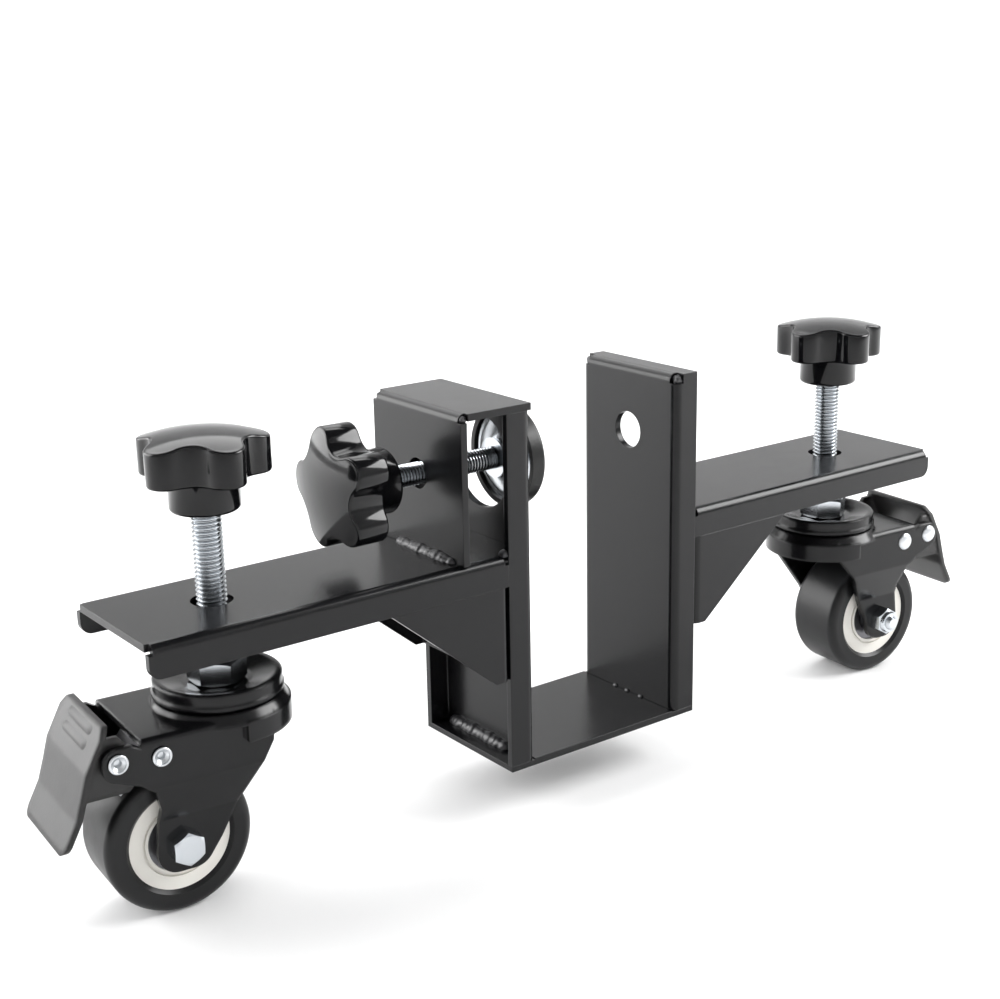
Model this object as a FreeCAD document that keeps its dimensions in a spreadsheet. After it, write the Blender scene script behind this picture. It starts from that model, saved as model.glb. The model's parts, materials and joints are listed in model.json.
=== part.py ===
import FreeCAD, Part
import math
import os
import re
import Sketcher

# Door dolly: a welded cradle of folded sheet steel that grips the foot of a door with a clamp
# screw, and stands on two braked swivel casters. A hand screw at each end lifts the cradle.
# Millimetres. The origin is on the floor under the middle of the cradle, +X runs along the arms
# away from the clamp knob, and +Z is up. Side pieces are drawn on the +X side; those of the
# -X side are the same drawing turned half a turn about Z.

SIZES = {
    # cradle of folded sheet
    "sheet_gauge": 2.5,
    "upright_seat": 0.4,
    "foot_rebate": 0.3,
    "frame_depth": 53.0,
    "door_gap": 67.0,
    "flange_width": 10.5,
    "bend_radius": 3.0,
    "bend_relief": 0.6,
    "arm_height": 81.3,
    "arm_lip": 11.0,
    "arm_reach": 135.0,
    "arm_end_relief": 1.6,
    "arm_hole": 14.0,
    "lip_corner": 4.0,
    "tongue_gap": 0.25,
    "rod_reach": 100.0,
    "gusset_length": 48.5,
    "gusset_drop": 35.0,
    "gusset_toe": 6.0,
    "box_depth": 29.4,
    "box_notch": 2.0,
    "clamp_rise": 27.7,
    "upright_crown": 25.0,
    "pad_hole": 34.0,
    "sight_hole": 14.0,
    "screw_hole": 11.0,
    # fits
    "running_play": 0.06,
    "seat_play": 0.02,
    # hand screws
    "rod_diameter": 10.0,
    "rod_bevel": 1.0,
    "rod_nut_flats": 17.0,
    "rod_nut_height": 8.0,
    "thread_below_arm": 8.6,
    "thread_above_arm": 30.5,
    "thread_in_knob": 15.0,
    "knob_radius": 22.0,
    "knob_valley": 15.6,
    "knob_lobe": 6.4,
    "knob_height": 13.0,
    "knob_crown": 3.5,
    "knob_edge": 2.0,
    "hub_diameter": 23.0,
    "hub_height": 9.8,
    "left_knob_turn": 0.0,
    "right_knob_turn": -10.0,
    "clamp_knob_turn": 31.0,
    # clamp
    "clamp_diameter": 8.0,
    "clamp_bevel": 0.8,
    "clamp_nut_flats": 13.0,
    "clamp_nut_height": 6.5,
    "clamp_thread_shown": 13.0,
    "clamp_thread_in_knob": 13.0,
    "pad_stand": 13.0,
    "pad_diameter": 37.0,
    "pad_bore": 24.0,
    "pad_thickness": 6.0,
    "pad_round": 1.6,
    "cup_rim_diameter": 33.0,
    "cup_rim_thickness": 1.5,
    "cup_rim_seat": 3.5,
    "cup_gauge": 1.4,
    "cup_depth": 10.0,
    "cup_hub_diameter": 14.4,
    "cup_step": 1.3,
    "spigot_diameter": 6.0,
    "spigot_play": 0.2,
    "clip_diameter": 11.0,
    "clip_thickness": 1.0,
    # swivel head
    "trail": 21.0,
    "caster_turn": -4.6,
    "fork_over_tread": 16.3,
    "dome_rise": 1.6,
    "dome_thickness": 4.0,
    "dome_top_radius": 21.2,
    "hood_radius": 23.6,
    "hood_depth": 8.3,
    "race_gap": 0.3,
    "race_radius": 15.0,
    "ball_diameter": 4.0,
    "ball_play": 0.3,
    "ball_count": 12.0,
    "cap_radius": 21.6,
    "cap_height": 6.3,
    "cap_wall": 4.0,
    "cap_edge": 1.0,
    "cap_recess_radius": 11.5,
    "cap_rim_width": 2.6,
    "washer_radius": 11.0,
    "washer_thickness": 2.2,
    "washer_play": 0.3,
    "kingpin_head_diameter": 13.0,
    "kingpin_head_height": 1.5,
    # fork: outward, up and down from the axle, or over and under the top of the tread
    "fork_width": 42.0,
    "leg_width": 32.0,
    "joggle_under_tread": 0.5,
    "joggle_height": 14.0,
    "fork_gauge": 2.4,
    "fork_bend": 2.0,
    "fork_top_reach": 13.5,
    "fork_top_back": 31.3,
    "tab_radius": 4.8,
    "tab_dip": 0.4,
    "tab_root_out": 14.6,
    "tab_root_over_tread": 1.6,
    "leg_neck_out": 9.8,
    "leg_neck_under_tread": 2.2,
    "leg_waist_out": 7.4,
    "leg_waist_up": 15.0,
    "leg_toe_out": 9.2,
    "leg_toe_down": 8.6,
    "leg_toe_round": 7.0,
    "leg_heel_in": 6.5,
    "wide_low_in": 12.7,
    "wide_mid_in": 19.6,
    "wide_mid_up": 11.9,
    "wide_top_in": 30.5,
    "wide_top_over_tread": 5.9,
    "narrow_low_in": 8.2,
    "narrow_mid_in": 13.4,
    "narrow_mid_up": 11.0,
    "narrow_neck_in": 19.6,
    "narrow_neck_under_tread": 3.2,
    "narrow_shoulder_in": 29.4,
    # brake
    "pivot_out": 21.3,
    "pivot_over_tread": 10.9,
    "brake_pin_out": 7.3,
    "brake_pin_over_tread": 9.9,
    "pin_diameter": 3.6,
    "pin_head_diameter": 7.2,
    "pin_head_height": 1.5,
    "pin_flare_height": 1.0,
    "pin_flare_bore": 3.0,
    "pedal_width": 37.6,
    "pedal_gauge": 2.0,
    "pedal_top_out": 2.6,
    "pedal_top_up": 11.0,
    "pedal_top_inset": 2.8,
    "pedal_waist_out": 9.6,
    "pedal_waist_down": 2.5,
    "pedal_bend_out": 11.8,
    "pedal_bend_down": 10.5,
    "pedal_flare_out": 13.8,
    "pedal_flare_down": 17.0,
    "pedal_lip_out": 19.2,
    "pedal_lip_down": 27.4,
    "pedal_lip_corner": 3.4,
    "pedal_top_corner": 1.5,
    "cheek_gauge": 1.8,
    "cheek_play": 0.4,
    "cheek_back": 6.8,
    "cheek_up": 7.6,
    "cheek_down": 11.5,
    "cheek_corner": 3.0,
    "cam_back": 4.2,
    "cam_down": 8.2,
    "cam_radius": 1.6,
    "cam_gap": 0.6,
    "shoe_gap": 1.6,
    "shoe_gauge": 1.9,
    "shoe_width": 20.0,
    "shoe_eye": 2.6,
    "shoe_start": 20.0,
    "shoe_end": 42.0,
    # wheel
    "wheel_diameter": 50.0,
    "wheel_width": 25.0,
    "tread_round": 3.2,
    "tyre_wall": 7.8,
    "core_width": 22.5,
    "core_lip": 1.0,
    "core_groove_width": 0.9,
    "core_groove_depth": 0.9,
    "bearing_diameter": 21.6,
    "bearing_width": 7.0,
    "bearing_inset": 1.0,
    "cup_ring_wall": 1.9,
    "cone_ring_wall": 2.1,
    "shield_gauge": 0.6,
    "shield_play": 0.25,
    "wheel_ball_diameter": 2.0,
    "wheel_ball_count": 8.0,
    "axle_diameter": 6.0,
    "axle_flats": 10.0,
    "axle_head_height": 4.0,
    "axle_nut_height": 4.6,
    "axle_nut_collar": 1.5,
    "axle_end": 1.6,
    "sleeve_wall": 1.5,
}

# Places worked out from the sizes.
AXLE_Z = "(wheel_diameter / 2)"
FORK_RISE = "(wheel_diameter / 2 + fork_over_tread)"
FORK_TOP = "(wheel_diameter / 2 + %s)" % FORK_RISE
DOME_TOP = "(%s + dome_rise)" % FORK_TOP
DOME_UNDER = "(%s - dome_thickness)" % DOME_TOP
BALL_Z = "(%s + race_gap / 2)" % DOME_TOP
CAP_BOTTOM = "(%s + race_gap)" % DOME_TOP
CAP_TOP = "(%s + cap_height)" % CAP_BOTTOM
CAP_FLOOR = "(%s + cap_wall)" % CAP_BOTTOM
WASHER_TOP = "(%s - washer_play)" % DOME_UNDER
WASHER_BOTTOM = "(%s - washer_thickness)" % WASHER_TOP
STEM_NUT_TOP = "(%s + rod_nut_height)" % CAP_FLOOR
LIFT_NUT_BOTTOM = "(%s + thread_below_arm)" % STEM_NUT_TOP
ARM_UNDER = "(%s + rod_nut_height)" % LIFT_NUT_BOTTOM
ARM_TOP = "(%s + sheet_gauge)" % ARM_UNDER
LIP_BOTTOM = "(%s - arm_lip)" % ARM_TOP
BASE_BOTTOM = "(%s - arm_height)" % ARM_TOP
BASE_TOP = "(%s + sheet_gauge)" % BASE_BOTTOM
CLAMP_Z = "(%s + clamp_rise)" % ARM_TOP
UPRIGHT_TOP = "(%s + upright_crown)" % CLAMP_Z
UPRIGHT_FOOT = "(%s - upright_seat)" % BASE_TOP
KNOB_SEAT = "(%s + thread_above_arm)" % ARM_TOP
DOOR_FACE = "(door_gap / 2)"
FLANGE_EDGE = "(door_gap / 2 + flange_width)"
ARM_TIP = "(%s + arm_reach)" % FLANGE_EDGE
ROD_X = "(%s + rod_reach)" % FLANGE_EDGE
BOX_FACE = "(%s + box_depth)" % DOOR_FACE
HALF_DEPTH = "(frame_depth / 2)"
PAD_FACE = "(pad_stand - %s)" % DOOR_FACE
CLAMP_HUB = "(-%s - clamp_thread_shown)" % BOX_FACE
FORK_HALF = "(fork_width / 2)"
FORK_INSIDE = "(fork_width / 2 - fork_gauge)"
LEG_HALF = "(leg_width / 2)"
LEG_INSIDE = "(leg_width / 2 - fork_gauge)"
CHEEK_HALF = "(fork_width / 2 - fork_gauge - cheek_play)"
PIVOT = ("(trail + pivot_out)", "(wheel_diameter + pivot_over_tread)")
BRAKE_PIN = ("(trail + brake_pin_out)", "(wheel_diameter + brake_pin_over_tread)")
AXLE = ("trail", AXLE_Z)

doc = FreeCAD.newDocument("door_dolly")
sheet = doc.addObject("Spreadsheet::Sheet", "Sizes")
for row, (name, value) in enumerate(SIZES.items(), start=1):
    sheet.set("A%d" % row, name)
    sheet.set("B%d" % row, str(value))
    sheet.setAlias("B%d" % row, name)
doc.recompute()

WORD = re.compile(r"[a-z][a-z_]+")
parts = []


def bound(text):
    """An expression with the sheet's name before each size in it."""
    def named(word):
        return "Sizes." + word.group() if word.group() in SIZES else word.group()

    return WORD.sub(named, str(text))


def number(text):
    """What an expression of sizes comes to."""
    return float(sheet.evalExpression(bound(text)))


def plus(*terms):
    """The sum of expressions."""
    return " + ".join("(%s)" % term for term in terms)


def minus(first, second):
    """One expression less another."""
    return "(%s) - (%s)" % (first, second)


def new_body(label):
    """A body for one sub-part, listed for export under its label."""
    body = doc.addObject("PartDesign::Body", label)
    body.Label = label
    parts.append(body)
    return body


def sketch_on(body, plane, offset=("0", "0", "0")):
    """A sketch on one of the body's origin planes, moved by offset in the sketch's own axes."""
    sketch = body.newObject("Sketcher::SketchObject", "outline")
    support = [item for item in body.Origin.OriginFeatures if item.Role == plane][0]
    sketch.AttachmentSupport = (support, [""])
    sketch.MapMode = "FlatFace"
    for way, text in zip("xyz", offset):
        sketch.setExpression("AttachmentOffset.Base." + way, bound(text))
    return sketch


def drive(sketch, kind, geometry, point, text):
    """A dimension of the sketch bound to an expression."""
    if point is None:
        index = sketch.addConstraint(Sketcher.Constraint(kind, geometry, number(text)))
    else:
        index = sketch.addConstraint(Sketcher.Constraint(kind, geometry, point, number(text)))
    sketch.setExpression("Constraints[%d]" % index, bound(text))


def outline(sketch, corners):
    """A closed outline of straight lines, each corner placed by a pair of expressions."""
    points = [FreeCAD.Vector(number(across), number(up), 0) for across, up in corners]
    first = sketch.GeometryCount
    count = len(points)
    for index, point in enumerate(points):
        sketch.addGeometry(Part.LineSegment(point, points[(index + 1) % count]), False)
    for index in range(count):
        following = first + (index + 1) % count
        sketch.addConstraint(Sketcher.Constraint("Coincident", first + index, 2, following, 1))
    for index, (across, up) in enumerate(corners):
        drive(sketch, "DistanceX", first + index, 1, across)
        drive(sketch, "DistanceY", first + index, 1, up)
    return sketch


def circle(sketch, across, up, diameter):
    """A circle placed and sized by expressions."""
    centre = FreeCAD.Vector(number(across), number(up), 0)
    index = sketch.addGeometry(Part.Circle(centre, FreeCAD.Vector(0, 0, 1), number(diameter) / 2), False)
    drive(sketch, "DistanceX", index, 3, across)
    drive(sketch, "DistanceY", index, 3, up)
    drive(sketch, "Diameter", index, None, diameter)
    return sketch


def rectangle(sketch, left, right, low, high):
    """A rectangle between two pairs of expressions."""
    return outline(sketch, [(left, low), (right, low), (right, high), (left, high)])


def pad(body, sketch, length, symmetric=False, reverse=False):
    """Material of the given length on a sketch."""
    feature = body.newObject("PartDesign::Pad", "pad")
    feature.Profile = sketch
    feature.SideType = "Symmetric" if symmetric else "One side"
    feature.Reversed = reverse
    feature.setExpression("Length", bound(length))
    doc.recompute()
    return feature


def checked_cut(body, feature, before):
    """Stops where a cut has removed nothing."""
    doc.recompute()
    if not body.Shape.Volume < before - 1e-6:
        raise RuntimeError("%s: %s removes nothing" % (body.Label, feature.Name))
    return feature


def pocket(body, sketch, length, symmetric=False, reverse=False):
    """A cut of the given length from a sketch."""
    before = body.Shape.Volume
    feature = body.newObject("PartDesign::Pocket", "pocket")
    feature.Profile = sketch
    feature.SideType = "Symmetric" if symmetric else "One side"
    feature.Reversed = reverse
    feature.setExpression("Length", bound(length))
    return checked_cut(body, feature, before)


def spin(body, sketch, axis, angle=360):
    """Material turned about an axis of the sketch, half of the angle to each side of it."""
    feature = body.newObject("PartDesign::Revolution", "turning")
    feature.Profile = sketch
    feature.ReferenceAxis = (sketch, [axis])
    feature.Midplane = True
    feature.Angle = angle
    doc.recompute()
    return feature


def groove(body, sketch, axis):
    """A cut turned about an axis of the sketch."""
    before = body.Shape.Volume
    feature = body.newObject("PartDesign::Groove", "groove")
    feature.Profile = sketch
    feature.ReferenceAxis = (sketch, [axis])
    feature.Angle = 360
    return checked_cut(body, feature, before)


def around(body, feature, sketch, axis, count):
    """The feature repeated round an axis of a sketch."""
    pattern = body.newObject("PartDesign::PolarPattern", "pattern")
    pattern.Originals = [feature]
    pattern.Axis = (sketch, [axis])
    pattern.Angle = 360
    pattern.setExpression("Occurrences", bound(count))
    body.Tip = pattern
    doc.recompute()
    return pattern


def edges_where(shape, places):
    """Names of the edges whose every corner lies at one of the places, each a dict of axis to value."""
    found = []
    for index, edge in enumerate(shape.Edges, start=1):
        corners = [vertex.Point for vertex in edge.Vertexes]
        for place in places:
            off = [abs(getattr(corner, way) - value) for corner in corners for way, value in place.items()]
            if max(off) < 1e-4:
                found.append("Edge%d" % index)
                break
    return found


def fillet(body, radius, places):
    """Rounds the edges at the places, each a dict of axis to expression."""
    doc.recompute()
    base = body.Tip
    spots = [{way: number(text) for way, text in place.items()} for place in places]
    edges = edges_where(base.Shape, spots)
    if not edges:
        raise RuntimeError("%s: no edge to round" % body.Label)
    feature = body.newObject("PartDesign::Fillet", "fillet")
    feature.Base = (base, edges)
    feature.setExpression("Radius", bound(radius))
    doc.recompute()
    return feature


def place(body, spot=("0", "0", "0"), angle="0", axis=(0, 0, 1)):
    """Sets the body's place, and its turn about an axis, by expressions."""
    body.Placement = FreeCAD.Placement(FreeCAD.Vector(), FreeCAD.Rotation(FreeCAD.Vector(*axis), 1))
    for way, text in zip("xyz", spot):
        body.setExpression("Placement.Base." + way, bound(text))
    body.setExpression("Placement.Rotation.Angle", bound(angle))


def on_side(body, side):
    """Leaves a cradle piece on the +X side, or turns it half a turn on to the -X side."""
    place(body, angle="0" if side == "right" else "180")


def under_arm(body, side, turned=True):
    """Puts a caster piece, drawn about its swivel axis, under the arm of its side."""
    half_turn = "0" if side == "right" else "180"
    across = ROD_X if side == "right" else "-" + ROD_X
    place(body, (across, "0", "0"), plus("caster_turn", half_turn) if turned else half_turn)


def turned(label, corners, centre=("0", "0")):
    """A round piece about the vertical axis, from its radius and height corners."""
    body = new_body(label)
    spin(body, outline(sketch_on(body, "XZ_Plane", (centre[0], centre[1], "0")), corners), "V_Axis")
    return body


def turned_across(label, centre, profiles):
    """A round piece about an axis along Y through centre, from outlines of radius and y corners."""
    body = new_body(label)
    sketch = sketch_on(body, "XY_Plane", (centre[0], "0", centre[1]))
    for corners in profiles:
        outline(sketch, corners)
    spin(body, sketch, "V_Axis")
    return body


def hexagon(sketch, across, up, flats):
    """A hexagon of a given width across its flats."""
    corners = []
    for step in range(6):
        angle = "%d deg" % (60 * step + 30)
        corners.append((plus(across, "%s / sqrt(3) * cos(%s)" % (flats, angle)),
                        plus(up, "%s / sqrt(3) * sin(%s)" % (flats, angle))))
    return outline(sketch, corners)


def bevel_corners(body, sketch, axis_first, flats, end, inward):
    """Turns the six corners of a hexagon's end to a cone; inward is the way to the other end."""
    inner = "%s * 0.475" % flats
    outer = "%s * 0.62" % flats
    depth = "%s * 0.0837" % flats
    corners = [(inner, end), (outer, end), (outer, plus(end, "%d * %s" % (inward, depth)))]
    if not axis_first:
        corners = [(up, across) for across, up in corners]
    groove(body, outline(sketch, corners), "V_Axis" if axis_first else "H_Axis")


def hex_nut(label, flats, height, bore):
    """A nut about the vertical axis, standing on z = 0."""
    body = new_body(label)
    pad(body, hexagon(sketch_on(body, "XY_Plane"), "0", "0", flats), height)
    pocket(body, circle(sketch_on(body, "XY_Plane", ("0", "0", height)), "0", "0", bore), height)
    bevel_corners(body, sketch_on(body, "XZ_Plane"), True, flats, height, -1)
    bevel_corners(body, sketch_on(body, "XZ_Plane"), True, flats, "0", 1)
    return body


# Cradle

def base_plate():
    body = new_body("base_plate")
    sketch = sketch_on(body, "XY_Plane", ("0", "0", BASE_BOTTOM))
    rectangle(sketch, "-" + FLANGE_EDGE, FLANGE_EDGE, "-" + HALF_DEPTH, HALF_DEPTH)
    pad(body, sketch, "sheet_gauge")
    for near, far in ((DOOR_FACE, FLANGE_EDGE), ("-" + FLANGE_EDGE, "-" + DOOR_FACE)):
        seat = sketch_on(body, "XY_Plane", ("0", "0", BASE_TOP))
        rectangle(seat, near, far, "-" + HALF_DEPTH, HALF_DEPTH)
        pocket(body, seat, "upright_seat")


def corner_notches(body, height, near, far, width, depth):
    """Square bend reliefs cut downwards at both depths of the cradle, between two x places."""
    for sign in ("", "-"):
        sketch = sketch_on(body, "XY_Plane", ("0", "0", height))
        rectangle(sketch, near, far, sign + "(%s)" % minus(HALF_DEPTH, width), sign + HALF_DEPTH)
        pocket(body, sketch, depth)


def upright(side, top, hole):
    """A channel whose web faces the door and whose flanges point outwards."""
    body = new_body(side + "_upright")
    inside = minus(HALF_DEPTH, "sheet_gauge")
    web_back = plus(DOOR_FACE, "sheet_gauge")
    channel = [
        (DOOR_FACE, "-" + HALF_DEPTH),
        (FLANGE_EDGE, "-" + HALF_DEPTH),
        (FLANGE_EDGE, "-(%s)" % inside),
        (web_back, "-(%s)" % inside),
        (web_back, inside),
        (FLANGE_EDGE, inside),
        (FLANGE_EDGE, HALF_DEPTH),
        (DOOR_FACE, HALF_DEPTH),
    ]
    sketch = outline(sketch_on(body, "XY_Plane", ("0", "0", UPRIGHT_FOOT)), channel)
    pad(body, sketch, minus(top, UPRIGHT_FOOT))
    rounded = [{"x": DOOR_FACE, "y": sign + HALF_DEPTH} for sign in ("", "-")]
    if side == "right":
        sketch = sketch_on(body, "XY_Plane", ("0", "0", minus(top, "sheet_gauge")))
        rectangle(sketch, DOOR_FACE, FLANGE_EDGE, "-(%s)" % inside, inside)
        pad(body, sketch, "sheet_gauge")
        relief = "bend_radius + bend_relief"
        corner_notches(body, top, DOOR_FACE, plus(DOOR_FACE, relief), relief, relief)
        rounded.append({"x": DOOR_FACE, "z": top})
    sketch = circle(sketch_on(body, "YZ_Plane", ("0", "0", FLANGE_EDGE)), "0", CLAMP_Z, hole)
    pocket(body, sketch, "flange_width")
    fillet(body, "bend_radius", rounded)
    fillet(body, "bend_radius - sheet_gauge",
           [{"x": web_back, "y": sign + "(%s)" % inside} for sign in ("", "-")])
    foot = sketch_on(body, "XY_Plane", ("0", "0", BASE_TOP))
    rectangle(foot, DOOR_FACE, plus(DOOR_FACE, "foot_rebate"), "-" + HALF_DEPTH, HALF_DEPTH)
    pocket(body, foot, "upright_seat")
    on_side(body, side)


def arm(side):
    """A channel with its lips down, and a tongue that reaches the web between the flanges."""
    body = new_body(side + "_arm")
    inside = minus(HALF_DEPTH, "sheet_gauge")
    channel = [
        ("-" + HALF_DEPTH, LIP_BOTTOM),
        ("-(%s)" % inside, LIP_BOTTOM),
        ("-(%s)" % inside, ARM_UNDER),
        (inside, ARM_UNDER),
        (inside, LIP_BOTTOM),
        (HALF_DEPTH, LIP_BOTTOM),
        (HALF_DEPTH, ARM_TOP),
        ("-" + HALF_DEPTH, ARM_TOP),
    ]
    pad(body, outline(sketch_on(body, "YZ_Plane", ("0", "0", FLANGE_EDGE)), channel), "arm_reach")
    tongue = sketch_on(body, "XY_Plane", ("0", "0", ARM_UNDER))
    tongue_half = minus(inside, "tongue_gap")
    rectangle(tongue, plus(DOOR_FACE, "sheet_gauge"), FLANGE_EDGE, "-(%s)" % tongue_half, tongue_half)
    pad(body, tongue, "sheet_gauge")
    sketch = circle(sketch_on(body, "XY_Plane", ("0", "0", ARM_TOP)), ROD_X, "0", "arm_hole")
    pocket(body, sketch, "sheet_gauge")
    corner_notches(body, ARM_TOP, minus(ARM_TIP, "arm_end_relief"), ARM_TIP, "bend_radius", "bend_radius")
    relief = plus(FLANGE_EDGE, "arm_end_relief")
    corner_notches(body, ARM_TOP, FLANGE_EDGE, relief, "bend_radius", "bend_radius")
    fillet(body, "bend_radius", [{"y": sign + HALF_DEPTH, "z": ARM_TOP} for sign in ("", "-")])
    fillet(body, "bend_radius - sheet_gauge",
           [{"y": sign + "(%s)" % inside, "z": ARM_UNDER} for sign in ("", "-")])
    fillet(body, "lip_corner", [{"x": ARM_TIP, "z": LIP_BOTTOM}])
    on_side(body, side)


def gusset(side):
    """A folded brace: two triangular cheeks in line with the arm's lips, and a wall on the upright."""
    body = new_body(side + "_gusset")
    low = minus(LIP_BOTTOM, "gusset_drop")
    cheek = [
        (FLANGE_EDGE, low),
        (plus(FLANGE_EDGE, "gusset_toe"), low),
        (plus(FLANGE_EDGE, "gusset_length"), LIP_BOTTOM),
        (FLANGE_EDGE, LIP_BOTTOM),
    ]
    inside = minus(HALF_DEPTH, "sheet_gauge")
    for start in (inside, "-" + HALF_DEPTH):
        pad(body, outline(sketch_on(body, "XZ_Plane", ("0", "0", start)), cheek), "sheet_gauge")
        if start == inside:
            wall = sketch_on(body, "YZ_Plane", ("0", "0", FLANGE_EDGE))
            rectangle(wall, "-" + HALF_DEPTH, HALF_DEPTH, low, LIP_BOTTOM)
            pad(body, wall, "sheet_gauge")
    fillet(body, "bend_radius", [{"x": FLANGE_EDGE, "y": sign + HALF_DEPTH} for sign in ("", "-")])
    wall_back = plus(FLANGE_EDGE, "sheet_gauge")
    fillet(body, "bend_radius - sheet_gauge",
           [{"x": wall_back, "y": sign + "(%s)" % inside} for sign in ("", "-")])
    on_side(body, side)


def clamp_box():
    """A folded plate that carries the clamp screw, with a top that closes the left upright."""
    body = new_body("clamp_box")
    inner = minus(BOX_FACE, "sheet_gauge")
    under = minus(UPRIGHT_TOP, "sheet_gauge")
    fold = [
        (DOOR_FACE, under),
        (inner, under),
        (inner, ARM_TOP),
        (BOX_FACE, ARM_TOP),
        (BOX_FACE, UPRIGHT_TOP),
        (DOOR_FACE, UPRIGHT_TOP),
    ]
    pad(body, outline(sketch_on(body, "XZ_Plane"), fold), "frame_depth", symmetric=True)
    corner_notches(body, UPRIGHT_TOP, minus(BOX_FACE, "bend_radius"), BOX_FACE, "box_notch", "bend_radius")
    sketch = circle(sketch_on(body, "YZ_Plane", ("0", "0", BOX_FACE)), "0", CLAMP_Z, "screw_hole")
    pocket(body, sketch, "sheet_gauge")
    fillet(body, "bend_radius", [{"x": BOX_FACE, "z": UPRIGHT_TOP}])
    fillet(body, "bend_radius - sheet_gauge", [{"x": inner, "z": under}])
    on_side(body, "left")


# Hand screws and clamp

def lobed(sketch, first_lobe):
    """Five round lobes joined by hollows, each tangent to the lobes beside it."""
    reach = "(knob_radius - knob_lobe)"
    slack = "(knob_lobe - knob_valley)"
    stand = "((%s ^ 2 - %s ^ 2) / 2 / (%s * cos(36 deg) + %s))" % (reach, slack, reach, slack)
    hollow = "(%s - knob_valley)" % stand
    upright = FreeCAD.Vector(0, 0, 1)
    spots = []
    for step in range(10):
        angle = "((%s + %d) * 1 deg)" % (first_lobe, 36 * step - 90)
        far = reach if step % 2 == 0 else stand
        spots.append(("%s * cos(%s)" % (far, angle), "%s * sin(%s)" % (far, angle)))
    centres = [FreeCAD.Vector(number(across), number(up), 0) for across, up in spots]
    arcs = []
    for step, centre in enumerate(centres):
        before = centres[step - 1] - centre
        after = centres[(step + 1) % 10] - centre
        turn = [math.atan2(before.y, before.x), math.atan2(after.y, after.x)]
        radius = number("knob_lobe" if step % 2 == 0 else hollow)
        if step % 2 == 1:
            turn.reverse()
        arc = Part.ArcOfCircle(Part.Circle(centre, upright, radius), turn[0], turn[1])
        arcs.append(sketch.addGeometry(arc, False))
    for step, arc in enumerate(arcs):
        lobe = step % 2 == 0
        point = 2 if lobe else 1
        sketch.addConstraint(Sketcher.Constraint("Tangent", arc, point, arcs[(step + 1) % 10], point))
        drive(sketch, "Radius", arc, None, "knob_lobe" if lobe else hollow)
        if lobe:
            drive(sketch, "DistanceX", arc, 3, spots[step][0])
            drive(sketch, "DistanceY", arc, 3, spots[step][1])
    return sketch


def knob(label, rod, depth, first_lobe):
    """A five-lobed knob about the vertical axis, its hub standing on z = 0."""
    top = "hub_height + knob_height"
    crest = plus(top, "knob_crown")
    body = new_body(label)
    sketch = lobed(sketch_on(body, "XY_Plane", ("0", "0", "hub_height")), first_lobe)
    pad(body, sketch, "knob_height + knob_crown")
    sketch = circle(sketch_on(body, "XY_Plane"), "0", "0", "hub_diameter")
    pad(body, sketch, "hub_height")
    above = outline(sketch_on(body, "XZ_Plane"), [
        ("knob_radius + knob_edge", minus(top, "2 * knob_edge")),
        ("knob_radius", minus(top, "knob_edge")),
        ("knob_radius - knob_edge", top),
        ("knob_radius / 2", plus(top, "knob_crown * 0.8")),
        ("0", crest),
        ("0", plus(crest, "knob_edge")),
        ("knob_radius + knob_edge", plus(crest, "knob_edge")),
    ])
    groove(body, above, "V_Axis")
    sketch = circle(sketch_on(body, "XY_Plane"), "0", "0", "%s + 2 * seat_play" % rod)
    pocket(body, sketch, depth, reverse=True)
    return body


def lift_screw(side):
    """The rod of one caster: from its head under the swivel race to the inside of its knob."""
    end = plus(KNOB_SEAT, "thread_in_knob")
    body = turned(side + "_lift_screw", [
        ("0", minus(WASHER_BOTTOM, "kingpin_head_height")),
        ("kingpin_head_diameter / 2", minus(WASHER_BOTTOM, "kingpin_head_height")),
        ("kingpin_head_diameter / 2", WASHER_BOTTOM),
        ("rod_diameter / 2", WASHER_BOTTOM),
        ("rod_diameter / 2", minus(end, "rod_bevel")),
        ("rod_diameter / 2 - rod_bevel", end),
        ("0", end),
    ])
    under_arm(body, side, turned=False)


def lift_hardware(side):
    """Knob, rod, the nut under the arm and the nut that locks the rod in the swivel cap."""
    across = ROD_X if side == "right" else "-" + ROD_X
    handle = knob(side + "_lift_knob", "rod_diameter", "thread_in_knob", side + "_knob_turn")
    place(handle, (across, "0", KNOB_SEAT))
    lift_screw(side)
    running_bore = "rod_diameter + 2 * running_play"
    seat_bore = "rod_diameter + 2 * seat_play"
    lift_nut = hex_nut(side + "_lift_nut", "rod_nut_flats", "rod_nut_height", running_bore)
    place(lift_nut, (across, "0", LIFT_NUT_BOTTOM))
    stem_nut = hex_nut(side + "_stem_nut", "rod_nut_flats", "rod_nut_height", seat_bore)
    place(stem_nut, (across, "0", CAP_FLOOR))


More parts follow.
